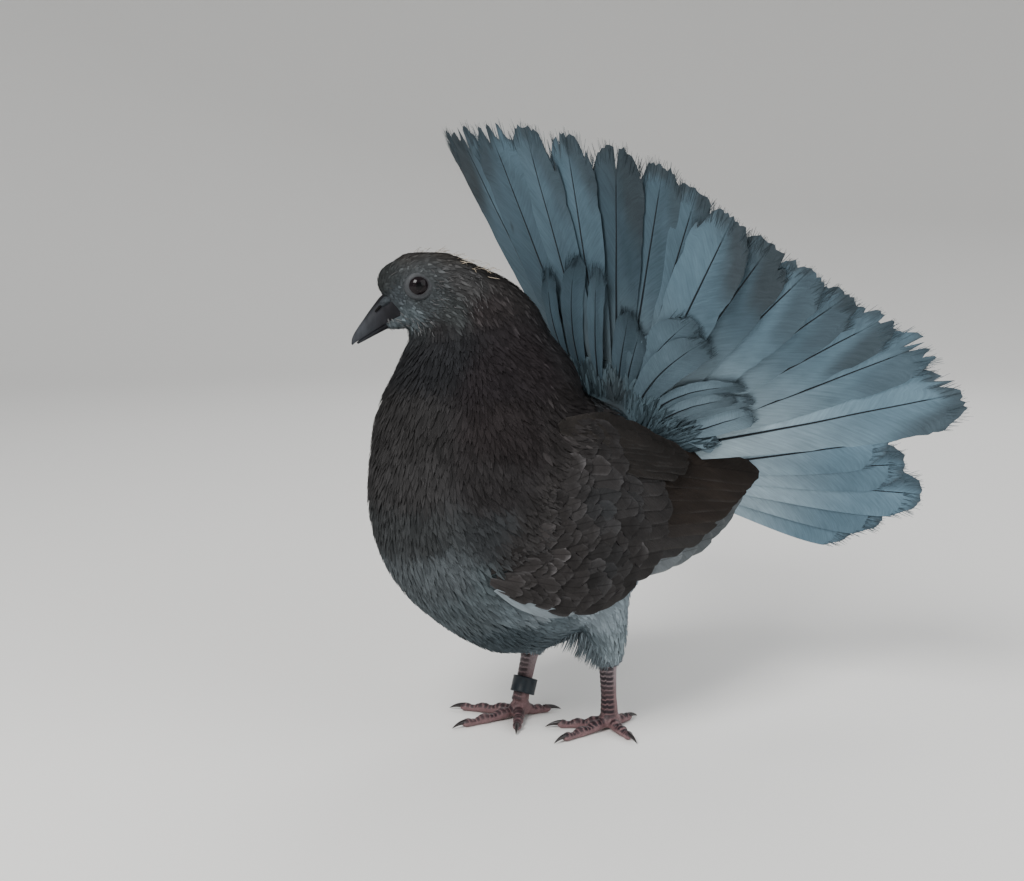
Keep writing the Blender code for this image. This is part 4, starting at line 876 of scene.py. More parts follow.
def region_of(points):
    """The tuft region of each point of the skin, or an empty name where none grow."""
    forward, left, up = points.T
    head = to_head(points)
    region = np.full(len(points), "body", "<U5")
    region[up > 148.0] = "neck"
    region[on_head(points) > 0.15] = "nape"
    region[(on_head(points) > 0.6) & (head[:, 0] > 1.0)] = "face"
    thigh = (up < 62.0) & (forward < 18.0) & (abs(left) > 8.0)
    region[thigh & (up < 56.0 - 0.6 * np.clip(forward, 0, 40))] = "thigh"
    fan = (np.linalg.norm(points - TAIL_CENTRE, axis=1) > 20.0) & (forward < 2.0) & (up > 120.0)
    region[((forward < -20.0) & (up > 84.0)) | fan] = "rump"
    low, high = curve(WING_STATIONS, forward)[:2]
    share = (up - low) / (high - low)
    under_wing = (abs(left) > torso_side(forward, up) - 7.0) & (share > 0.04) & (share < 0.95)
    under_wing &= forward < wing_front(up) + 5.0 - 16.0 * ramp(up, 84.0, 98.0)
    region[under_wing & (forward > -70.0) & (abs(left) > 19.0)] = ""
    face = region == "face"
    region[(eye_gap(head) < 4.9) & face & (abs(head[:, 1]) > 6.0)] = ""
    in_bill = (head[:, 0] > 20.0) & (head[:, 2] < -1.5 - 0.5 * (head[:, 0] - 20.0))
    in_bill &= head[:, 2] > -9.9 - 0.45 * (head[:, 0] - 13.5)
    region[in_bill & face & (abs(head[:, 1]) < 4.4)] = ""
    return region


def scatter(mesh, spacings, rng):
    """Points spread over a mesh and their regions, no closer than each region's spacing."""
    mesh.calc_loop_triangles()
    corners = np.zeros(len(mesh.loop_triangles) * 3, np.int32)
    mesh.loop_triangles.foreach_get("vertices", corners)
    points = mesh_points(mesh)[corners.reshape(-1, 3)]
    cross = np.cross(points[:, 1] - points[:, 0], points[:, 2] - points[:, 0])
    area = np.linalg.norm(cross, axis=1)
    tries = int(area.sum() / 2 * TRIES_EACH_SQUARE)
    pick = rng.choice(len(area), tries, p=area / area.sum())
    first, second = rng.random(tries), rng.random(tries)
    over = first + second > 1
    first[over], second[over] = 1 - first[over], 1 - second[over]
    spots = (points[pick, 0] * (1 - first - second)[:, None] + points[pick, 1] * first[:, None]
             + points[pick, 2] * second[:, None])
    regions = region_of(spots)
    steps = list(itertools.product((-1, 0, 1), repeat=3))
    kept = []
    for name, spacing in spacings.items():
        cells = {}
        for index in np.flatnonzero(regions == name):
            x, y, z = (int(value // spacing) for value in spots[index])
            near = (cells.get((x + i, y + j, z + k)) for i, j, k in steps)
            if not any(other is not None
                       and ((spots[other] - spots[index]) ** 2).sum() < spacing * spacing
                       for other in near):
                cells[x, y, z] = index
                kept.append(index)
    return spots[kept], regions[kept]


def coat(skin, tree):
    """Tufts over the skin, along the lie of the coat, smallest on the face."""
    rng = np.random.default_rng(11)
    spots, regions = scatter(skin, {name: row[0] for name, row in TUFTS.items()}, rng)
    surface = feather_surface("coat_feather", 8.0, 3.0, 0.0, 0.9, 0.4, 0.25, 0.06)
    lie, tint, count = plumage_lie(spots), plumage_tint(spots), len(spots)
    normals = np.array([tree.find_nearest(Vector(spot))[1] for spot in spots])
    _, length, half, root_lift, tip_lift = np.array([TUFTS[name] for name in regions]).T
    vary = rng.random((count, 6)).T
    face, rump, body = regions == "face", regions == "rump", regions == "body"
    forward, left, up = spots.T
    outward = spots - TAIL_CENTRE
    on_fan = rump & (np.linalg.norm(outward, axis=1) > 13.0) & (up > 106.0)
    lie = square_to(np.where(on_fan[:, None], unit(outward), lie), normals)
    loose = np.where(rump, 0.8, np.where(regions == "thigh", 0.5, 0.3))
    lie = unit(lie + np.cross(normals, lie) * ((vary[0] - 0.5) * loose)[:, None])
    head = to_head(spots)
    length = length * (0.8 + 0.4 * vary[1])
    length[face & (eye_gap(head) < 8.5)] *= 0.65
    length[face & (head[:, 0] > 17.0)] *= 0.7
    half = half * (0.75 + 0.5 * vary[2])
    front, beside_wing = wing_front(up), body & (abs(left) > 26.0)
    over = ramp(front + 9.0 - forward, 0.0, 9.0) * beside_wing * (up > 88.0) * (up < 140.0)
    shares = np.linspace(0, 1, len(TUFT_SHAPE))
    tops, unders = np.zeros((2, count, len(shares), 3, 3))
    base = np.zeros((count, len(shares), 3))
    at, heading = spots, lie
    for row, (share, step) in enumerate(zip(shares, np.diff(shares, prepend=0.0))):
        at = at + heading * (length * step)[:, None]
        found = [tree.find_nearest(Vector(point)) for point in at]
        at, normal = (np.array([hit[part] for hit in found]) for part in (0, 1))
        heading = square_to(heading, normal)
        across = np.cross(normal, heading)
        base[:, row] = normal
        lift = (mix(root_lift, tip_lift, share ** 1.2) + (vary[3] - 0.5) * 0.35
                + over * 1.5 * share)
        for col, place in enumerate((-1, 0, 1)):
            crown = lift + (0.0 if place else 0.08 * half)
            spot = at + across * (half * TUFT_SHAPE[row] * place)[:, None]
            tops[:, row, col] = spot + normal * crown[:, None]
            unders[:, row, col] = spot + normal * (crown - TUFT_THICK)[:, None]
    shade = 0.74 + 0.52 * vary[4]
    shade *= 1 + 0.25 * (wavy(spots @ (0.11, 0.13, 0.09), 1.3)
                         * wavy(spots @ (-0.12, 0.1, 0.14), 4.1))
    pale = ((vary[5] < 0.05) & (up > 128.0) & (forward < 52.0)
            | (vary[5] < 0.12) & (regions == "nape") | (vary[5] < 0.1) & face)
    shade[pale] *= 1.75
    beside = 0.85 * (ramp(front + 7.0 - forward, 0.0, 9.0) * beside_wing
                     * ramp(up, 80.0, 90.0) * (up < 138.0))
    tint = mix(tint, np.array(WING_INNER["covert"]) * 1.15, beside[:, None])
    tint = tint * (shade + rump * (0.55 * (vary[4] - 0.5)))[:, None]
    tints = (tint[:, None, None] * np.array(TUFT_SHADES)[:, None, None]
             * np.ones(tops.shape))
    patch = body_patch(spots)
    order = np.argsort(np.where(face, 0, np.where(regions == "neck", 1, 2)), kind="stable")
    wraps = rump & ((base[:, 0] * base[:, -1]).sum(1) < 0.6)
    order = order[~wraps[order]]
    for index, start in enumerate(range(0, len(order), TUFTS_A_PIECE)):
        take = order[start:start + TUFTS_A_PIECE]
        leaves(f"coat_{index}", (tops[take], unders[take]), tints[take], surface,
               patch[take], crisp=False, base=base[take])


def wing_feathers(side, tier, surface):
    """One tier of a wing's long feathers, as grids that follow the wing."""
    order = list(WING_TIERS).index(tier)
    rng = np.random.default_rng(31 + order + (10 if side > 0 else 0))
    depths, deeper, half_width, count, blunted, rows = WING_TIERS[tier]
    tilt = 0.03 if deeper else 0.6 * (count - 1) / (8.0 * (len(rows) - 1))
    share, across = grid(26, 11)
    grids, tints = [], []
    for index, (root_f, root_u, tip_f, tip_u) in enumerate(spread(rows, count)):
        jitter = rng.random(8) - 0.5
        loose = 0 < index < count - 1
        span = np.array((tip_f + 3.6 * jitter[0] * loose - root_f,
                         tip_u + 1.6 * jitter[1] * loose - root_u))
        length = np.linalg.norm(span)
        wide = half_width * np.interp(share, *zip(*LONG_SHAPE)) * (1 + 0.14 * jitter[2])
        drop = blunted * half_width / length
        blunt = 1 - drop * abs(across + 0.15 * jitter[3]) ** 2.2 * share ** 6
        notch = np.clip(1 - abs(across - 0.6 * jitter[4]) / 0.14, 0, 1) * (jitter[5] > 0.1)
        blunt = blunt - (0.01 * wavy(across * 4, index + side) + 2.6 / length * notch) * share ** 10
        bend = (1.1 + 1.2 * jitter[6]) * np.sin(share * math.pi) * (0.4 if tier == "primary" else 1)
        offset = (across * wide + bend) / length
        forward = root_f + span[0] * share * blunt + span[1] * offset
        height = root_u + span[1] * share * blunt - span[0] * offset
        depth = (curve(depths, forward)[0] + deeper * index / max(count - 1, 1)
                 + tilt * across * wide + 0.25 * across ** 2 - 0.1
                 + 0.12 * wavy(share * 2.5 + across * 0.6, index * 1.3 + side))
        grids.append([wing_at(side, forward, height, deep) for deep in (depth, depth + 0.26)])
        tints.append(wing_tint(tier, index / (count - 1), 1 + 0.3 * jitter[7], share, across))
    patch = [(0.65 + 0.03 * (index % 10), 0.02 + 0.16 * order + 0.04 * (index // 10)
              + (0.0 if side > 0 else 0.08)) for index in range(count)]
    leaves(f"{tier}_{SIDES[side]}", zip(*grids), tints, surface, patch, 0.025)


def wing_tint(tier, place, shade, share, across):
    """Colours of a wing feather: a dark vane and a thin pale rim, by its tier and place."""
    inner, outer = np.array(WING_INNER[tier]), np.array(WING_OUTER[tier])
    if tier == "secondary":
        inner = inner + np.array(SECONDARY_BLUE) * (1 - ramp(place, 0.05, 0.55))
    edge = (across < 0) * ramp(abs(across), 0.82, 1.0) + (across > 0) * ramp(abs(across), 0.9, 1) / 2
    rim = np.maximum(edge, 0.5 * ramp(share, 0.95, 1.0))
    rim = np.clip(rim * (0.55 + 0.45 * wavy(share * 5, place * 9)), 0, 1)[..., None]
    cloud = 1 + 0.22 * wavy(share * 3.0 + across, place * 13.0)
    if tier == "primary":
        cloud = cloud * (1.1 - 0.45 * ramp(place, 0.0, 0.8))
    return mix(inner * shade, outer, rim) * cloud[..., None]


def wing_coverts(side, surface):
    """The small rounded coverts over the front of a wing, in staggered, uneven rows."""
    rng = np.random.default_rng(21 if side > 0 else 22)
    share, across = grid(10, 7)
    grids, tints, patch = [], [], []
    root, line = 72.0, 0
    while root > 19.0:
        grown = ramp(root, 66.0, 24.0)
        length, half, step = 9.5 + 9.5 * grown, 2.9 + 2.5 * grown, 3.5 + 2.9 * grown
        low, high = curve(WING_STATIONS, root)[:2]
        for number in np.arange(0, (high - low) / step + 0.5):
            jitter = rng.random(12) - 0.5
            rise = ((number + 0.5 * (line % 2)) * step + 1.6 * jitter[0]) / (high - low)
            own_root = min(root + jitter[1] * 3.4, 69.0)
            up = low + (high - low) * rise
            if rise > 1.02 or up > 84.0 and own_root > wing_front(up) - 6.5:
                continue
            own_length = length * (1 + 0.4 * jitter[2])
            own_half = half * (1 + 0.4 * jitter[6])
            drop = 0.5 * own_half / own_length * abs(across + 0.3 * jitter[7]) ** 2.0
            fray = 0.035 * wavy(across * 5.0, number * 1.7 + line)
            ahead = own_root - own_length * share * (1 - (drop + fray) * share ** 5)
            low_line, high_line = curve(WING_STATIONS, ahead)[:2]
            wide = own_half * np.interp(share, *zip(*COVERT_SHAPE))
            shift = own_length * share * (0.16 * jitter[3] - 0.07) + 0.9 * jitter[8] * share ** 2
            height = (low_line + (high_line - low_line) * np.clip(rise, 0.02, 0.99)
                      + across * wide + shift)
            depth = (1.9 - 2.2 * share ** 0.8 + 0.05 * across + 0.3 * across ** 2
                     + 0.3 * jitter[4] + 0.35 * jitter[9] * share ** 2
                     + 0.4 * ramp(rise, 0.8, 1.0) * share)
            grids.append([wing_at(side, ahead, height, deep) for deep in (depth, depth + 0.2)])
            tints.append(covert_tint(share, across, own_root - own_length * 0.7, up,
                                     number + line, jitter))
            patch.append((0.64 + 0.1 * (side > 0) + 0.002 * line, 0.7 + 0.2 * np.clip(rise, 0, 1)))
        root -= step * 0.98
        line += 1
    leaves(f"lesser_coverts_{SIDES[side]}", zip(*grids), tints, surface, patch)


def covert_tint(share, across, forward, up, seed, jitter):
    """Colours of a small covert at a place of the wing: dark, with a worn pale rim."""
    rim = np.maximum(ramp(abs(across), 0.6, 1.0), ramp(share, 0.8, 1.0))
    rim = rim * np.clip(0.45 + 0.6 * wavy(across * 1.5 + share, seed), 0, 1)
    mottle = 0.9 * wavy(forward * 0.16 + up * 0.07, 2.1) * wavy(up * 0.19 - forward * 0.05, 5.2)
    blue = sum(strength * math.exp(-((forward - place_f) ** 2 + (up - place_u) ** 2) / size ** 2)
               for place_f, place_u, size, strength in WING_PATCHES)
    inner = np.array(COVERT_INNER) + blue * np.array(COVERT_INNER_BLUE)
    outer = (np.array(COVERT_OUTER) * (1 + 0.35 * ramp(forward, 0.0, 40.0))
             + blue * np.array(COVERT_OUTER_BLUE))
    if jitter[10] > 0.44:
        rim = np.maximum(rim, ramp(across * (1 if jitter[5] > 0 else -1), 0.7, 0.9)
                         * ramp(share, 0.4, 0.7))
        outer = outer * 2.3
    shade = (1 + 0.5 * jitter[5] + mottle) * (1.08 - 0.2 * share[..., None])
    return mix(inner, outer, 0.85 * rim[..., None]) * shade


def tail_tint(turn, share, across, shade):
    """Colours along a tail feather: pale root, ash blue vane, painted shade, dark band and worn end.
    """
    share = share * np.ones_like(across)
    side = ramp(turn, -10.0, 90.0)
    # Painted shade: vanes of the feathers turned about 8 to 76 darken by up to half from mid length
    # out, for the fan's shaded middle.
    fan_middle_shade = ramp(turn, 8.0, 26.0) * (1 - ramp(turn, 62.0, 76.0)) * ramp(share, 0.3, 0.7)
    vane = np.array(TAIL_VANE) * (1 + 0.85 * side) * shade
    vane = vane * (1 - 0.5 * fan_middle_shade * (0.7 + 0.3 * math.sin(turn * 2.3)))[..., None]
    root = np.array(TAIL_PALE) * (0.7 + 1.5 * ramp(turn, 20.0, 104.0))
    colour = mix(root, vane, ramp(share, 0.14, 0.58 + 0.22 * side)[..., None])
    outer = across * (1 if turn > 0 else -1)
    starts = 0.86 - 0.16 * ramp(outer, -0.1, 0.7) + 0.05 * math.sin(turn * 1.7)
    wave = 0.025 * wavy(across * 2.5, turn * 0.37) + 0.02 * wavy(share * 9, turn * 0.6)
    dark = ramp(share + wave, starts, starts + 0.17) * (0.55 + 0.4 * ramp(outer, -0.6, 0.3))
    dark = dark * (1.0 - 0.3 * side) * (0.85 + 0.3 * math.sin(turn * 2.9))
    fleck = wavy(share * 21.0 + across, turn * 1.1) * wavy(across * 3.5 + share * 7, turn * 2.3)
    dark = np.maximum(dark, 0.7 * ramp(fleck, 0.62, 0.9) * ramp(share, 0.4, 0.6))
    dark = np.maximum(dark, 0.75 * ramp(share + wave, 0.955, 0.985))
    band = np.array(TAIL_BAND) * (1 + 0.4 * side)
    colour = mix(colour, band, np.clip(dark, 0, 1)[..., None])
    cloud = 1 + 0.1 * wavy(share * 4 + across * 1.4, turn * 0.23)
    return colour * ((1 - 0.13 * (outer > 0)) * cloud)[..., None]


def fan_feather(turn, start, reach, widths, widest, lift, closest, drift, notches, rows, cols):
    """Grids of a feather that lies on the fan, tilted so that its outer edge covers the next."""
    share, across = grid(rows, cols)
    own_turn = turn + drift * share ** 1.2
    half_angle = curve(TAIL_FAN, own_turn)[0]
    around_it = curve(TAIL_FAN, np.array((turn + drift + 4.0, turn + drift - 4.0)))[0]
    sweep = float(np.clip((around_it[0] - around_it[1]) / 8, -TAIL_SWEEP, TAIL_SWEEP))
    if turn == TAIL_LAST:
        sweep = TAIL_LAST_SWEEP
    drop = TIP_DROP * np.clip((abs(across) - 0.3) / 0.7, 0, 1) ** 2
    ragged = 0.008 * wavy(across * 6.0, turn * 0.7) + 0.006 * wavy(across * 17.0, turn * 1.3)
    cut = sum((deep / reach * np.clip(1 - abs(across - place) / 0.11, 0, 1)
               for place, deep in notches), 0 * across)
    at = start + (reach - start) * share * (1 - (drop + ragged) * share ** 7 - cut * share ** 12)
    around = at * np.sin(np.radians(half_angle))
    nick = np.clip(0.10 * wavy(share * 11.0, turn * 0.9 + np.sign(across) * 2.0), 0, 1)
    offset = (across * curve(widths, share)[0] * widest
              * (1 - nick * abs(across) ** 3 * ramp(share, 0.4, 0.6)))
    swing = np.degrees(offset / around)
    tilt = VANE_GAP / (around * math.radians(closest)) * (1 if turn > 0 else -1)
    height = lift + tilt * offset + 0.3 * (1 - abs(across)) ** 1.5
    height = height + (0.25 + 0.15 * share) * wavy(share * 3.0 + across, turn * 0.5)
    angle = half_angle + sweep * swing
    return [fan_at(own_turn + swing, angle, at, height + half)
            for half in (VANE_HALF, -VANE_HALF)]


def folded_feather(side, layer, rise, reach, rows, cols):
    """Grids of an outermost tail feather, which points back beside the rump."""
    share, across = grid(rows, cols)
    rise = math.radians(rise)
    along = np.array((-math.cos(FOLDED_OUT) * math.cos(rise),
                      side * math.sin(FOLDED_OUT) * math.cos(rise), math.sin(rise)))
    normal = np.array((math.sin(FOLDED_OUT), side * math.cos(FOLDED_OUT), 0.0))
    upward = unit(np.cross(normal, along))
    root = FOLDED_ROOT * np.array((1, side, 1)) - normal * layer * FOLDED_STEP
    drop = TIP_DROP * 1.2 * np.clip((abs(across) - 0.3) / 0.7, 0, 1) ** 2
    ragged = 0.008 * wavy(across * 7.0, rise * 40)
    at = TAIL_ROOT + (reach - TAIL_ROOT) * share * (1 - (drop + ragged) * share ** 7)
    offset = across * curve(TAIL_WIDTHS, share)[0] * FOLDED_WIDTH / 12.6
    bulge = 0.35 * (1 - abs(across)) ** 1.5 + 0.3 * wavy(share * 3 + across, layer)
    spots = root + along * at[..., None] + upward * offset[..., None]
    return [spots + normal * (bulge + half)[..., None] for half in (VANE_HALF, -VANE_HALF)]


def resampled(line, keys):
    """A line of points at keys that count along it."""
    return np.stack([np.interp(keys, np.arange(len(line)), line[:, axis])
                     for axis in range(3)], -1)


def shaft_strip(tops, thick=0.75, stop=0.93):
    """Grids of a tapering quill along the middle of a feather's top grid."""
    col, rows = tops.shape[1] // 2, 20
    keys = np.linspace(0.0, stop, rows) * (len(tops) - 1)
    line = resampled(tops[:, col], keys)
    along = unit(np.gradient(line, axis=0))
    side = square_to(resampled(tops[:, col + 1] - tops[:, col - 1], keys), along)
    half = (thick * (1 - 0.72 * np.linspace(0, 1, rows)))[:, None, None]
    normal = np.cross(along, side)[:, None] * half
    profile, crown = np.array(QUILL_SECTION).T[..., None]
    flat = line[:, None] + side[:, None] * half * profile
    return flat + normal * crown, flat - normal * QUILL_UNDER


def under_wings(surface):
    """The pale feather under each wing's lower edge."""
    share, across = grid(24, 7)
    grids, tints = [], []
    forward, low, wide = curve(UNDER_WING, share)
    depth = 1.7 - 0.9 * across
    for side in (1, -1):
        grids.append([wing_at(side, forward, low + across * wide, deep)
                      for deep in (depth, depth + 0.3)])
        tints.append(np.array(UNDER_WING_TINT)
                     * (1 - 0.25 * share * (across < 0))[..., None]
                     * (1 + 0.08 * wavy(share * 9 + across, side))[..., None])
    leaves("under_wing", zip(*grids), tints, surface,
           [(0.97, 0.05), (0.97, 0.09)], 0.02)


def thigh_hem(surface):
    """The hair-like hem of the thighs."""
    rng = np.random.default_rng(71)
    share = np.linspace(0, 1, len(HEM_WIDTHS))
    side = np.repeat((1, -1), HEM_COUNT)
    place = rng.random((len(side), 6)).T
    forward = -12.0 + 34.0 * place[0]
    hem = curve(THIGH_HEM, forward)[0] + 3.0 * (place[1] - 0.5)
    out = 18.0 + 7.0 * np.sqrt(np.clip(1 - ((forward - 3.0) / 18.0) ** 2, 0, 1)) * place[2]
    root = np.stack((forward - 2.0 - 0.15 * (forward - 3.0), side * (out - 1.0),
                     hem + 11.0 + 3.0 * place[3]), 1)
    tip = np.stack((forward + 1.0 + 2.0 * (place[4] - 0.5), side * out, hem), 1)
    line = mix(root[:, None], tip[:, None], share[:, None])
    line[..., 1] += side[:, None] * 1.2 * np.sin(share * math.pi)
    along = unit(tip - root)
    normal = unit(np.cross(along, (1.0, 0.0, 0.0))) * side[:, None]
    across = np.cross(normal, along)
    grids = strip(line, across[:, None, None], HEM_WIDTHS, normal[:, None, None], 0.12)
    tints = (np.array(HEM_TINT) * (0.7 + 0.6 * place[5])[:, None, None, None]
             * np.ones(grids[0].shape))
    leaves("thigh_hem", grids, tints, surface, body_patch(root), crisp=False)


def fringe(tops, tint, rng, number, length):
    """Grids of thin frayed barbs past a feather's end, and their colours."""
    share, keys = np.linspace(0, 1, len(BARB_WIDTHS)), rng.random(number)
    root, tip = (resampled(tops[row], keys * (tops.shape[1] - 1)) for row in (-4, -1))
    aside = unit(tops[-1, -1] - tops[-1, 0])
    along = unit(tip - root)
    normal = unit(np.cross(along, aside))
    along = unit(along + aside * ((keys - 0.5) * 0.7 + (rng.random(number) - 0.5) * 0.5)[:, None])
    reach = np.linalg.norm(tip - root, axis=1) + length * (0.5 + rng.random(number))
    curl = 1.4 * (rng.random(number) - 0.5)
    line = (root[:, None] + along[:, None] * (reach[:, None] * share)[..., None]
            + normal[:, None] * (curl[:, None] * share ** 2)[..., None])
    across = np.cross(normal, along)[:, None, None]
    grids = strip(line, across, BARB_WIDTHS, normal[:, None, None], 0.12)
    shade = tint[-2].mean(0) * 0.9 * (0.7 + 0.6 * rng.random((number, 1, 1, 1)))
    return grids, np.broadcast_to(shade, grids[0].shape)


def build_tail():
    """The spread tail: its long feathers, folded outer ones, coverts, quills and fringes."""
    rng = np.random.default_rng(51)
    vane = feather_surface("tail_vane", 95.0, 12.0, 0.02, 0.7, 0.45, 0.16)
    quill = feather_surface("tail_quill", 60.0, 0.0, 0.0, 0.45, 0.2, 0.1)
    share, across = grid(44, 21)
    grids, tints, quills, fringes = [], [], [], []
    for turn in TAIL_TURNS:
        reach, wider = float(curve(TAIL_FAN, turn)[1]), TAIL_LAST_WIDER
        if turn not in TAIL_WHOLE:
            reach += 3.4 * (rng.random() - 0.6)
        if turn != TAIL_LAST:
            wider = 0.88 + 0.2 * rng.random()
        torn = -25 < turn < 10
        notches = [(place, (14.0 if torn else 8.0) * rng.random() + 3.0)
                   for place in (rng.random(1 + rng.integers(3) + torn) - 0.5) * 1.8]
        top, under = fan_feather(turn, TAIL_ROOT, reach, TAIL_WIDTHS, wider, 0.0,
                                 TAIL_CLOSEST, 0.0, notches, 44, 21)
        grids.append((top, under))
        tints.append(tail_tint(turn, share, across, 0.86 + 0.3 * rng.random()))
        quills += [shaft_strip(top), shaft_strip(under[:, ::-1])]
        fringes.append(fringe(top, tints[-1], rng, 60, 1.9 if turn < 40 else 1.3))
    for side in (1, -1):
        for layer, (rise, reach) in enumerate(FOLDED):
            top, under = folded_feather(side, layer, rise, reach, 44, 21)
            grids.append((top, under))
            tints.append(tail_tint(104.0, share, across, 0.85 + 0.3 * rng.random()))
            quills.append(shaft_strip(top))
            fringes.append(fringe(top, tints[-1], rng, 50, 1.3))
    patch = [(0.65 + 0.03 * (index % 10), 0.34 + 0.035 * (index // 10))
             for index in range(len(grids))]
    leaves("tail_feathers", zip(*grids), tints, vane, patch, 0.028)
    grids, tints, patch = [], [], []
    share, across = grid(26, 11)
    rows = [row + (1,) for row in TAIL_COVERTS] + [
        (turn, 30.0, turn * 1.04, reach, half, -1) for turn, reach, half in VENT_COVERTS]
    for index, (turn, start, end_turn, reach, half, face) in enumerate(rows):
        lift = face * (2.0 + 0.55 * (index % 3))
        notches = [((rng.random() - 0.5) * 1.6, 2.0 + 4.0 * rng.random())]
        top, under = fan_feather(turn + 1e-3, start, reach, COVERT_WIDTHS, half, lift, 8.0,
                                 end_turn - turn, notches, 26, 11)[::face]
        grids.append((top, under))
        fade = (0.92 if face > 0 else 1.472) * (1.0 - 0.42 * ramp(share, 0.6, 1.0))
        tints.append(tail_tint(turn, 0.55, across, 0.9 + 0.25 * rng.random()) * fade[..., None])
        patch.append((0.65 + 0.03 * (index % 10), 0.54 + 0.03 * (index // 10)))
        quills.append(shaft_strip(top[:, ::face], thick=0.42, stop=0.8))
        fringes.append(fringe(top, tints[-1], rng, 34, 1.3))
    leaves("tail_coverts", zip(*grids), tints, vane, patch, 0.022)
    patch = [(0.96, 0.01 + 0.012 * (index % 80)) for index in range(len(quills))]
    leaves("tail_quills", zip(*quills), np.full((len(quills),) + quills[0][0].shape, QUILL_TINT),
           quill, patch, 0.008, crisp=False)
    barbs, tints = zip(*fringes)
    tops, unders = (np.concatenate(part) for part in zip(*barbs))
    patch = np.stack((0.65 + 0.3 * rng.random(len(tops)), 0.92 + 0.05 * rng.random(len(tops))), 1)
    leaves("tail_fringe", (tops, unders), np.concatenate(tints), vane, patch)


def plumage_tint(points):
    """The plumage's colour at points, from the body's places and the head's."""
    return mix(guided(TINTS, points), guided(HEAD_TINTS, to_head(points)),
               on_head(points)[:, None])


def plumage_lie(points):
    """The lie of the coat at points, which parts round the eyes and runs out on the fan."""
    head = to_head(points)
    lie = unit(guided(HEAD_LIES, head, True))
    apart = unit(np.stack((head[:, 0] - EYE_IN_HEAD[0], 0 * head[:, 0], head[:, 2]), 1))
    inward = np.minimum((lie * apart).sum(1), 0) * (1 - ramp(eye_gap(head), 5.5, 9.5))
    lie = unit(lie - apart * inward[:, None] * 1.3)
    body = unit(guided(LIES, points, True))
    out = points - TAIL_CENTRE
    fan = ramp(np.linalg.norm(out, axis=1), 17.0, 28.0)
    fan *= (points[:, 0] < -4.0) & (points[:, 2] > 118.0)
    body = mix(body, unit(out), fan[:, None])
    return unit(mix(body, turned(lie, HEAD_TURN), on_head(points)[:, None]))


def round_eye(mesh, low, high, inside, outside):
    """A mesh's colours, from the inside one to the outside one away from the eye's middle."""
    share = ramp(eye_gap(to_head(mesh_points(mesh))), low, high)[:, None]
    return mix(np.array(inside), np.array(outside), share)


def half_bill(stations):
    """The mesh and the colours of one half of the bill, with a painted highlight on its edges."""
    angle, rings = circle(36), []
    aside, rise = (np.sign(value) * abs(value) ** power
                   for value, power in ((np.cos(angle), 0.82), (np.sin(angle), 0.9)))
    reach = np.where(rise > 0, rise, rise * 0.05)
    for far_f, far_u, mouth_f, mouth_u, width in spread(stations, 40):
        base_f, base_u = mix(mouth_f, far_f, 0.05), mix(mouth_u, far_u, 0.05)
        rings.append(head_point(mix(base_f, far_f, reach), width * aside,
                                mix(base_u, far_u, reach)))
    mesh = solid([loft(rings)])
    head = to_head(mesh_points(mesh))
    # Painted highlight: the bill turns paler along its edges, more towards the tip.
    along = ramp(head[:, 0], 24.0, 37.0)
    edge = ramp(abs(head[:, 1]) / np.maximum(4.9 - 0.3 * (head[:, 0] - 19.0), 0.5), 0.75, 1.0)
    return mesh, (np.array(BILL_DARK) * (1.25 - 0.6 * along)[:, None]
                  + np.array(BILL_HIGHLIGHT) * (edge * along * 0.8)[:, None])


def build_head():
    """Eyes with bare lids, and the bill with its cere and painted-shade nostrils."""
    glass = grain_surface("eye_glass", 900.0, 0.06, 0.16, 0.000002, 0.3)
    lid_skin = grain_surface("lid_skin", 1400.0, 0.6, 0.3, 0.0002)
    horn = grain_surface("bill_horn", 420.0, 0.5, 0.09, 0.00025, 0.8, (1, 1, 0.35))
    powder = grain_surface("cere_powder", 1300.0, 0.75, 0.1, 0.0003, 0.7)
    dark = grain_surface("nostril_painted_shade", 900.0, 0.8, 0.1, 0.0001)
    forward, aside, up = EYE_IN_HEAD
    angle = circle(72)[:, None]
    for side, name in SIDES.items():
        mesh = solid([head_ball((forward, side * aside, up), (5.0, 5.0, 5.0), 0.0, 72)])
        mark(mesh, round_eye(mesh, 1.35, 1.65, PUPIL, IRIS))
        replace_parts(new_piece("eye_glass_" + name, mesh, glass), "eye_" + name)
        radius, out = np.array(LID_PROFILE).T
        rough = 0.10 * wavy(angle * 2.0 + np.arange(len(radius)) * 0.9, 1.7 + side)
        radius, out = radius + 0.4 * rough, out + rough
        at = radius * np.cos(angle)
        mesh = solid([hoop(head_point(forward + at, side * (12.45 - 0.12 * at + out),
                                      up + radius * np.sin(angle) * 0.96))])
        mark(mesh, round_eye(mesh, 3.3, 4.4, LID_INNER, LID_OUTER))
        new_piece("eyelids_" + name, mesh, lid_skin)
    for name, stations, node in (("bill_ridge", UPPER_BILL, "bill_upper"),
                                 ("bill_under", LOWER_BILL, "bill_lower")):
        mesh, tint = half_bill(stations)
        mark(mesh, tint)
        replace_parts(new_piece(name, mesh, horn), node)
    mesh = solid([head_ball((24.0, side * 2.3, -5.9), (4.4, 2.3, 1.8), 38.0)
                  for side in (1, -1)], 0.3, 4)
    mottle = 0.8 + 0.3 * wavy(mesh_points(mesh)[:, 2], 1.0)
    mark(mesh, np.array(CERE_TINT) * mottle[:, None])
    new_piece("cere", mesh, powder)
    # Painted shade: the nostrils are near-black ellipsoids for the dark inside of the openings.
    mesh = solid([head_ball((27.6, side * 3.15, -8.9), (2.1, 0.75, 0.5), 44.0)
                  for side in (1, -1)])
    mark(mesh, NOSTRIL_SHADE)
    new_piece("nostrils", mesh, dark)


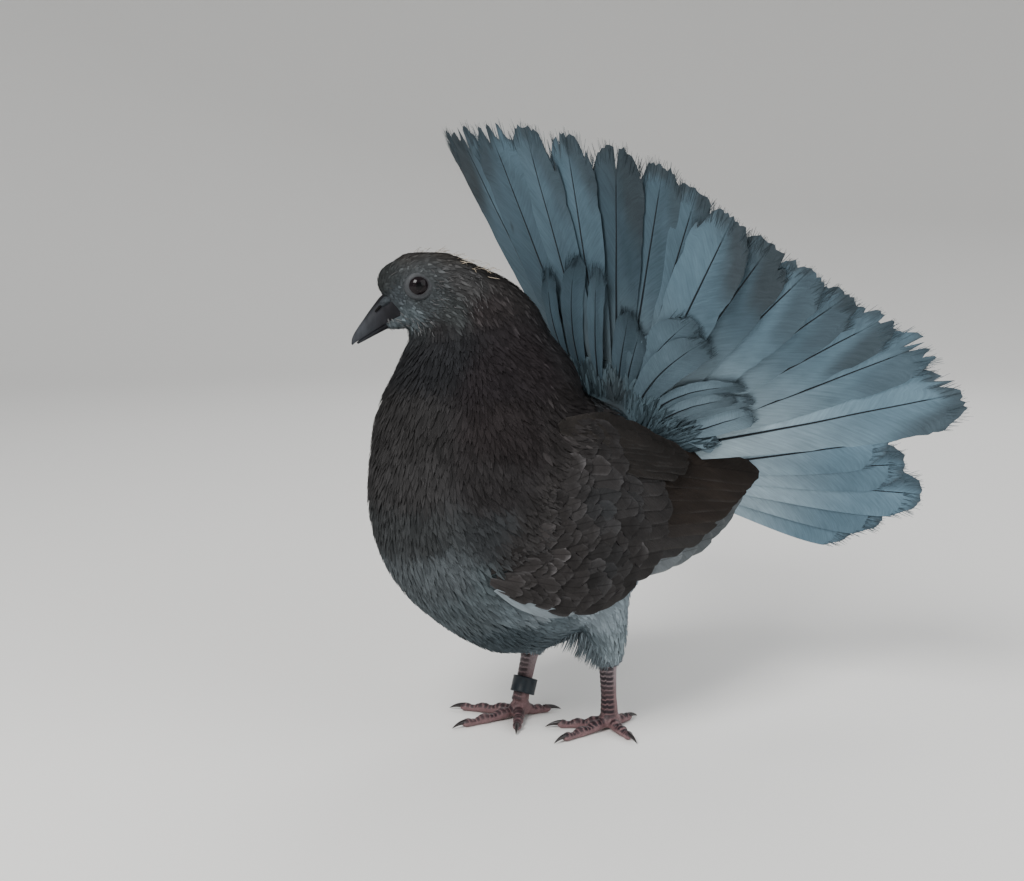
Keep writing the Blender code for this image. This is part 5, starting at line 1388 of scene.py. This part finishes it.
def toe_line(side, name):
    """A toe's middle line and radii out to its claw, and the claw's own, as arrays."""
    joint = np.array(FOOT_JOINT[side])
    tip = np.array(TOE_TIPS[side][name])
    along = tip - joint[:2]
    reach = np.linalg.norm(along) - 7.0
    along = along / np.linalg.norm(along)
    share = np.linspace(0, 1, 30)
    radius = 2.7 - share + 0.28 * np.cos(share * math.pi * 6)
    height = 3.4 + (radius - 3.4) * np.minimum(1.0, share * 2.2) - 0.1
    toe = np.concatenate((joint[:2] + along * (reach * share)[:, None], height[:, None]), 1)
    share = np.linspace(0, 1, 12)
    beyond = reach - 1.5 + 8.5 * share
    height = 2.15 + 0.5 * np.sin(share * math.pi * 0.9) - 1.7 * share ** 2
    claw = np.concatenate((joint[:2] + along * beyond[:, None], height[:, None]), 1)
    return toe, radius, claw, 1.25 * (1 - share) ** 0.75 + 0.06


def tube_rings(line, radii, flatten=1.0, sides=20):
    """Rings round a middle line."""
    along = unit(np.gradient(line, axis=0))
    level = (0.0, 0.0, 1.0) if abs(along[0, 2]) < 0.7 else (1.0, 0.0, 0.0)
    aside = unit(np.cross(along, level))
    over = np.cross(aside, along)
    angle = circle(sides)[:, None]
    return (line[:, None] + np.asarray(radii)[:, None, None]
            * (aside[:, None] * np.cos(angle) + over[:, None] * (np.sin(angle) * flatten)))


def scute_run(points, normals, lines):
    """Each point's run along the nearest of a leg's lines, in scutes, and how it faces front."""
    nearest = np.full(len(points), np.inf)
    run, front = np.zeros((2, len(points)))
    for line, radius, facing in lines:
        lengths = np.linalg.norm(np.diff(line, axis=0), axis=1)
        along = np.concatenate(((0.0,), np.cumsum(lengths)))
        apart = np.linalg.norm(points[:, None] - line[None], axis=2)
        step = apart.argmin(1)
        low = np.clip(step, 0, len(line) - 2)
        span = line[low + 1] - line[low]
        extra = ((points - line[low]) * span).sum(1) / (span ** 2).sum(1)
        gap = apart.min(1) - radius[step]
        closer = gap < nearest
        nearest[closer] = gap[closer]
        run[closer] = ((along[low] + np.clip(extra, -1, 1) * lengths[low]) / SCUTE)[closer]
        front[closer] = (normals @ facing)[closer]
    return run, ramp(front, 0.05, 0.55)


def scaled(mesh, lines, side):
    """The mesh of a leg, its points moved onto scutes and grains, with its colours."""
    points = mesh_points(mesh)
    normals = np.zeros(len(mesh.vertices) * 3)
    mesh.vertex_normals.foreach_get("vector", normals)
    normals = normals.reshape(-1, 3) @ ((0, 1, 0), (-1, 0, 0), (0, 0, 1))
    phase, facing = scute_run(points, normals, lines)
    phase = (phase + 0.16 * wavy(points[:, 1] * 0.9 + points[:, 0] * 0.3, 2.0)) * math.pi
    bulge = abs(np.sin(phase)) ** 0.6
    grains = abs(np.sin(phase * 2) * np.sin(np.arctan2(points[:, 1], points[:, 0]) * 60))
    lift = mix(0.1 * (grains - 0.5), 0.24 * (bulge - 0.6), facing) * (points[:, 2] >= 0.5)
    points = points + normals * lift[:, None]
    points[:, 2] = np.maximum(points[:, 2], 0.02)
    mesh.vertices.foreach_set("co", to_row(points).astype(np.float32).ravel())
    patchy = 0.5 + 0.5 * wavy(points @ (0.21, 0.17, 0.26), 3.0 + side)
    bars = facing * ramp(bulge, 0.35, 0.75) * (0.7 + 0.5 * patchy) * (1.0 if side > 0 else 0.85)
    pink = mix(np.array(FOOT_PINK) * (0.75 + 0.45 * patchy)[:, None], np.array(SHANK_PINK),
               ramp(points[:, 2], 14.0, 26.0)[:, None])
    return mix(pink, np.array(SCUTE_TINT), np.clip(bars, 0, 1)[:, None])


def shank_ends(side, rise):
    """The foot's joint, and the shank's top at a rise over the thigh's lower end."""
    height, forward, left = THIGHS[side][-1][:3]
    return np.array(FOOT_JOINT[side]), np.array((forward, left, height + rise))


def build_legs():
    """Scaled shanks and toes, and the claws."""
    skin = grain_surface("leg_scales", 1500.0, 0.5, 0.35, 0.00025)
    horn = grain_surface("claw_horn", 900.0, 0.32, 0.45, 0.0001)
    for side, name in SIDES.items():
        joint, top = shank_ends(side, 3.5)
        share = np.linspace(0, 1, 16)
        shank, radius = mix(top, joint, share[:, None]), np.interp(share, *zip(*SHANK_RADII))
        shapes = [loft(tube_rings(shank, radius)),
                  ball(joint - (0.0, 0.0, 2.9), (5.2, 4.5, 3.9), 20)]
        lines = [(shank, radius, (1.0, 0.25 * side, 0.0))]
        for toe_name in TOE_TIPS[side]:
            toe, radius, claw, claw_radius = toe_line(side, toe_name)
            shapes.append(loft(tube_rings(toe, radius, 0.96)))
            shapes.append(ball(toe[-1] - (0.0, 0.0, 0.1), (2.0, 2.0, 1.55), 14))
            lines.append((toe, radius, (0.0, 0.0, 1.0)))
            mesh = solid([loft(tube_rings(claw, claw_radius, 1.15, 14))])
            share = ramp(mesh_points(mesh)[:, 2], 0.3, 2.6)[:, None]
            mark(mesh, mix(np.array(CLAW_TIP), np.array(CLAW_ROOT), share))
            piece = new_piece(f"nail_{name}_{toe_name}", mesh, horn)
            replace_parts(piece, f"claw_{name}_{toe_name}")
        mesh = solid(shapes, 0.5, 2)
        mark(mesh, scaled(mesh, lines, side))
        piece = new_piece("leg_" + name, mesh, skin)
        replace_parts(piece, "shank_" + name, "foot_" + name)


def build_ring():
    """The plain ring on the right leg."""
    joint, top = shank_ends(-1, 1.5)
    axis = unit(top - joint)
    middle = mix(joint, top, 0.30) - (0.3, 0.0, 0.0)
    aside = unit(np.cross(axis, (1.0, 0.0, 0.0)))
    front = np.cross(aside, axis)
    angle = circle(96)[:, None]
    radius, along = np.array(RING_PROFILE).T[..., None]
    out = aside * np.cos(angle) + front * np.sin(angle)
    mesh = solid([hoop(middle + axis * along + out[:, None] * radius)])
    mark(mesh, RING_TINT)
    plastic = grain_surface("ring_plastic", 1100.0, 0.42, 0.4, 0.00008, 0.45)
    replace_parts(new_piece("ring_band", mesh, plastic), "leg_ring")


def build_down(tree):
    """Pale threads of down on the crown and nape, and pale flecks on cheek, chin and brow."""
    rng = np.random.default_rng(61)
    surface = feather_surface("down_thread", 6.0, 0.0, 0.0, 0.8, 0.1, 0.2)
    shape = np.array(THREAD_SHAPE)
    share = np.linspace(0, 1, len(shape))
    grids, tints, roots = [], [], []
    for name, number, first, second, length, stand, half, colour in DOWN_KINDS:
        on_top = name in ("crown", "nape")
        for _ in range(number):
            place = rng.random(4)
            between = place[[1, 1, 1 if on_top else 3]]
            spot = mix(np.array(first), np.array(second), between)
            side = 1 if place[0] > 0.5 else -1
            aside = side * abs(spot[1]) * (place[2] if on_top else 1.0)
            hit = tree.find_nearest(Vector(head_point(spot[0], aside, spot[2])))
            at, normal = np.array(hit[0]), np.array(hit[1])
            if name != "crown" and eye_gap(to_head(at)) < 6.2:
                continue
            lie = plumage_lie(at[None])[0]
            lie = unit(lie - (lie @ normal) * normal + (rng.random(3) - 0.5) * 0.7)
            reach = length * (0.5 + 0.9 * rng.random())
            rise = stand * (0.5 + rng.random())
            curl = (rng.random(3) - 0.5) * reach * 0.8
            line = (at + normal * 0.45 + lie * (reach * share)[:, None]
                    + normal * (reach * 0.62 * rise * np.sin(share * 1.9))[:, None]
                    + curl * (share ** 2)[:, None])
            grids.append(strip(line, unit(np.cross(normal, lie)), half * shape, normal, 0.1))
            shade = 0.5 + 0.9 * rng.random()
            tints.append(np.array(colour) * shade * np.ones(grids[-1][0].shape))
            roots.append(at)
    leaves("down", zip(*grids), tints, surface, body_patch(np.array(roots)),
           0.002, crisp=False)


def build_floor():
    """A pale floor that sweeps up all round."""
    turns, sweep = 96, FLOOR_END - FLOOR_FLAT
    reach = np.concatenate((np.linspace(0.25, FLOOR_FLAT, 6),
                            FLOOR_FLAT + np.linspace(0.1, sweep, 22)))[:, None]
    rise = FLOOR_RISE * (np.maximum(reach - FLOOR_FLAT, 0.0) / sweep) ** 2.2
    angle = circle(turns)
    rings = np.stack((reach * np.cos(angle), reach * np.sin(angle), rise + 0 * angle), -1)
    faces = [(0, 1 + step, 1 + (step + 1) % turns) for step in range(turns)]
    faces += [tuple(1 + index for index in face[::-1]) for face in ring_faces(len(reach), turns)]
    data = bpy.data.meshes.new("floor")
    data.from_pydata([(0.0, 0.0, 0.0)] + rings.reshape(-1, 3).tolist(), [], faces)
    data.shade_smooth()
    surface = bpy.data.materials.new("studio_floor")
    surface.use_nodes = True
    shader = surface.node_tree.nodes["Principled BSDF"]
    shader.inputs["Base Color"].default_value = FLOOR_COLOUR
    shader.inputs["Roughness"].default_value = 0.85
    shader.inputs["Specular IOR Level"].default_value = 0.15
    data.materials.append(surface)
    link(bpy.data.objects.new("floor", data))


def studio():
    """The floor, soft lights, and the camera at the photo's angle."""
    build_floor()
    for name, spot, power, size, colour in LIGHTS:
        light = bpy.data.lights.new(name, "AREA")
        light.energy, light.size, light.color = power, size, colour
        lamp = link(bpy.data.objects.new(name, light))
        lamp.location = spot
        lamp.rotation_euler = (Vector(LIGHT_AIM) - Vector(spot)).to_track_quat("-Z", "Y").to_euler()
    world = bpy.data.worlds.new("studio")
    world.use_nodes = True
    world.node_tree.nodes["Background"].inputs[0].default_value = WORLD_COLOUR
    world.node_tree.nodes["Background"].inputs[1].default_value = WORLD_STRENGTH
    bpy.context.scene.world = world
    lens = bpy.data.cameras.new("camera")
    lens.sensor_width, lens.lens = SENSOR, SENSOR * FOCAL_PIXELS / PHOTO_WIDTH
    camera = link(bpy.data.objects.new("camera", lens))
    camera.location = to_row(CAMERA_AT)[0]
    pitch = math.atan((MIDDLE_ROW - HORIZON_ROW) / FOCAL_PIXELS)
    look = Vector((-math.cos(CAMERA_TURN) * math.cos(pitch),
                   math.sin(CAMERA_TURN) * math.cos(pitch), -math.sin(pitch)))
    camera.rotation_euler = look.to_track_quat("-Z", "Y").to_euler()
    bpy.context.scene.camera = camera


def build_plumage():
    """The dressed bird: skin, coat, wings, tail, head, legs, ring and down."""
    mesh = build_skin()
    points = mesh_points(mesh)
    mark(mesh, plumage_tint(points) * WARMTH * 0.8)
    bake_map(mesh, body_patch(points))
    surface = feather_surface("skin_down", 3.0, 1.0, 0.0, 0.9, 0.3, 0.4)
    skin = new_piece("skin", mesh, surface)
    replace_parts(skin, "torso", "neck", "head", "wing_left", "wing_right", "tail", "thigh_left",
                "thigh_right")
    tree = tree_of(mesh)
    coat(mesh, tree)
    vane = feather_surface("wing_vane", 42.0, 8.0, 0.03, 0.7, 0.45, 0.16)
    small = feather_surface("wing_covert_vane", 14.0, 4.0, 0.05, 0.8, 0.45, 0.25)
    for side in (1, -1):
        for tier in WING_TIERS:
            wing_feathers(side, tier, vane)
        wing_coverts(side, small)
    surface = feather_surface("hanging_feather", 20.0, 4.0, 0.0, 0.85, 0.3, 0.15)
    under_wings(surface)
    thigh_hem(surface)
    build_tail()
    build_head()
    build_legs()
    build_ring()
    build_down(tree)


studio()
build_plumage()
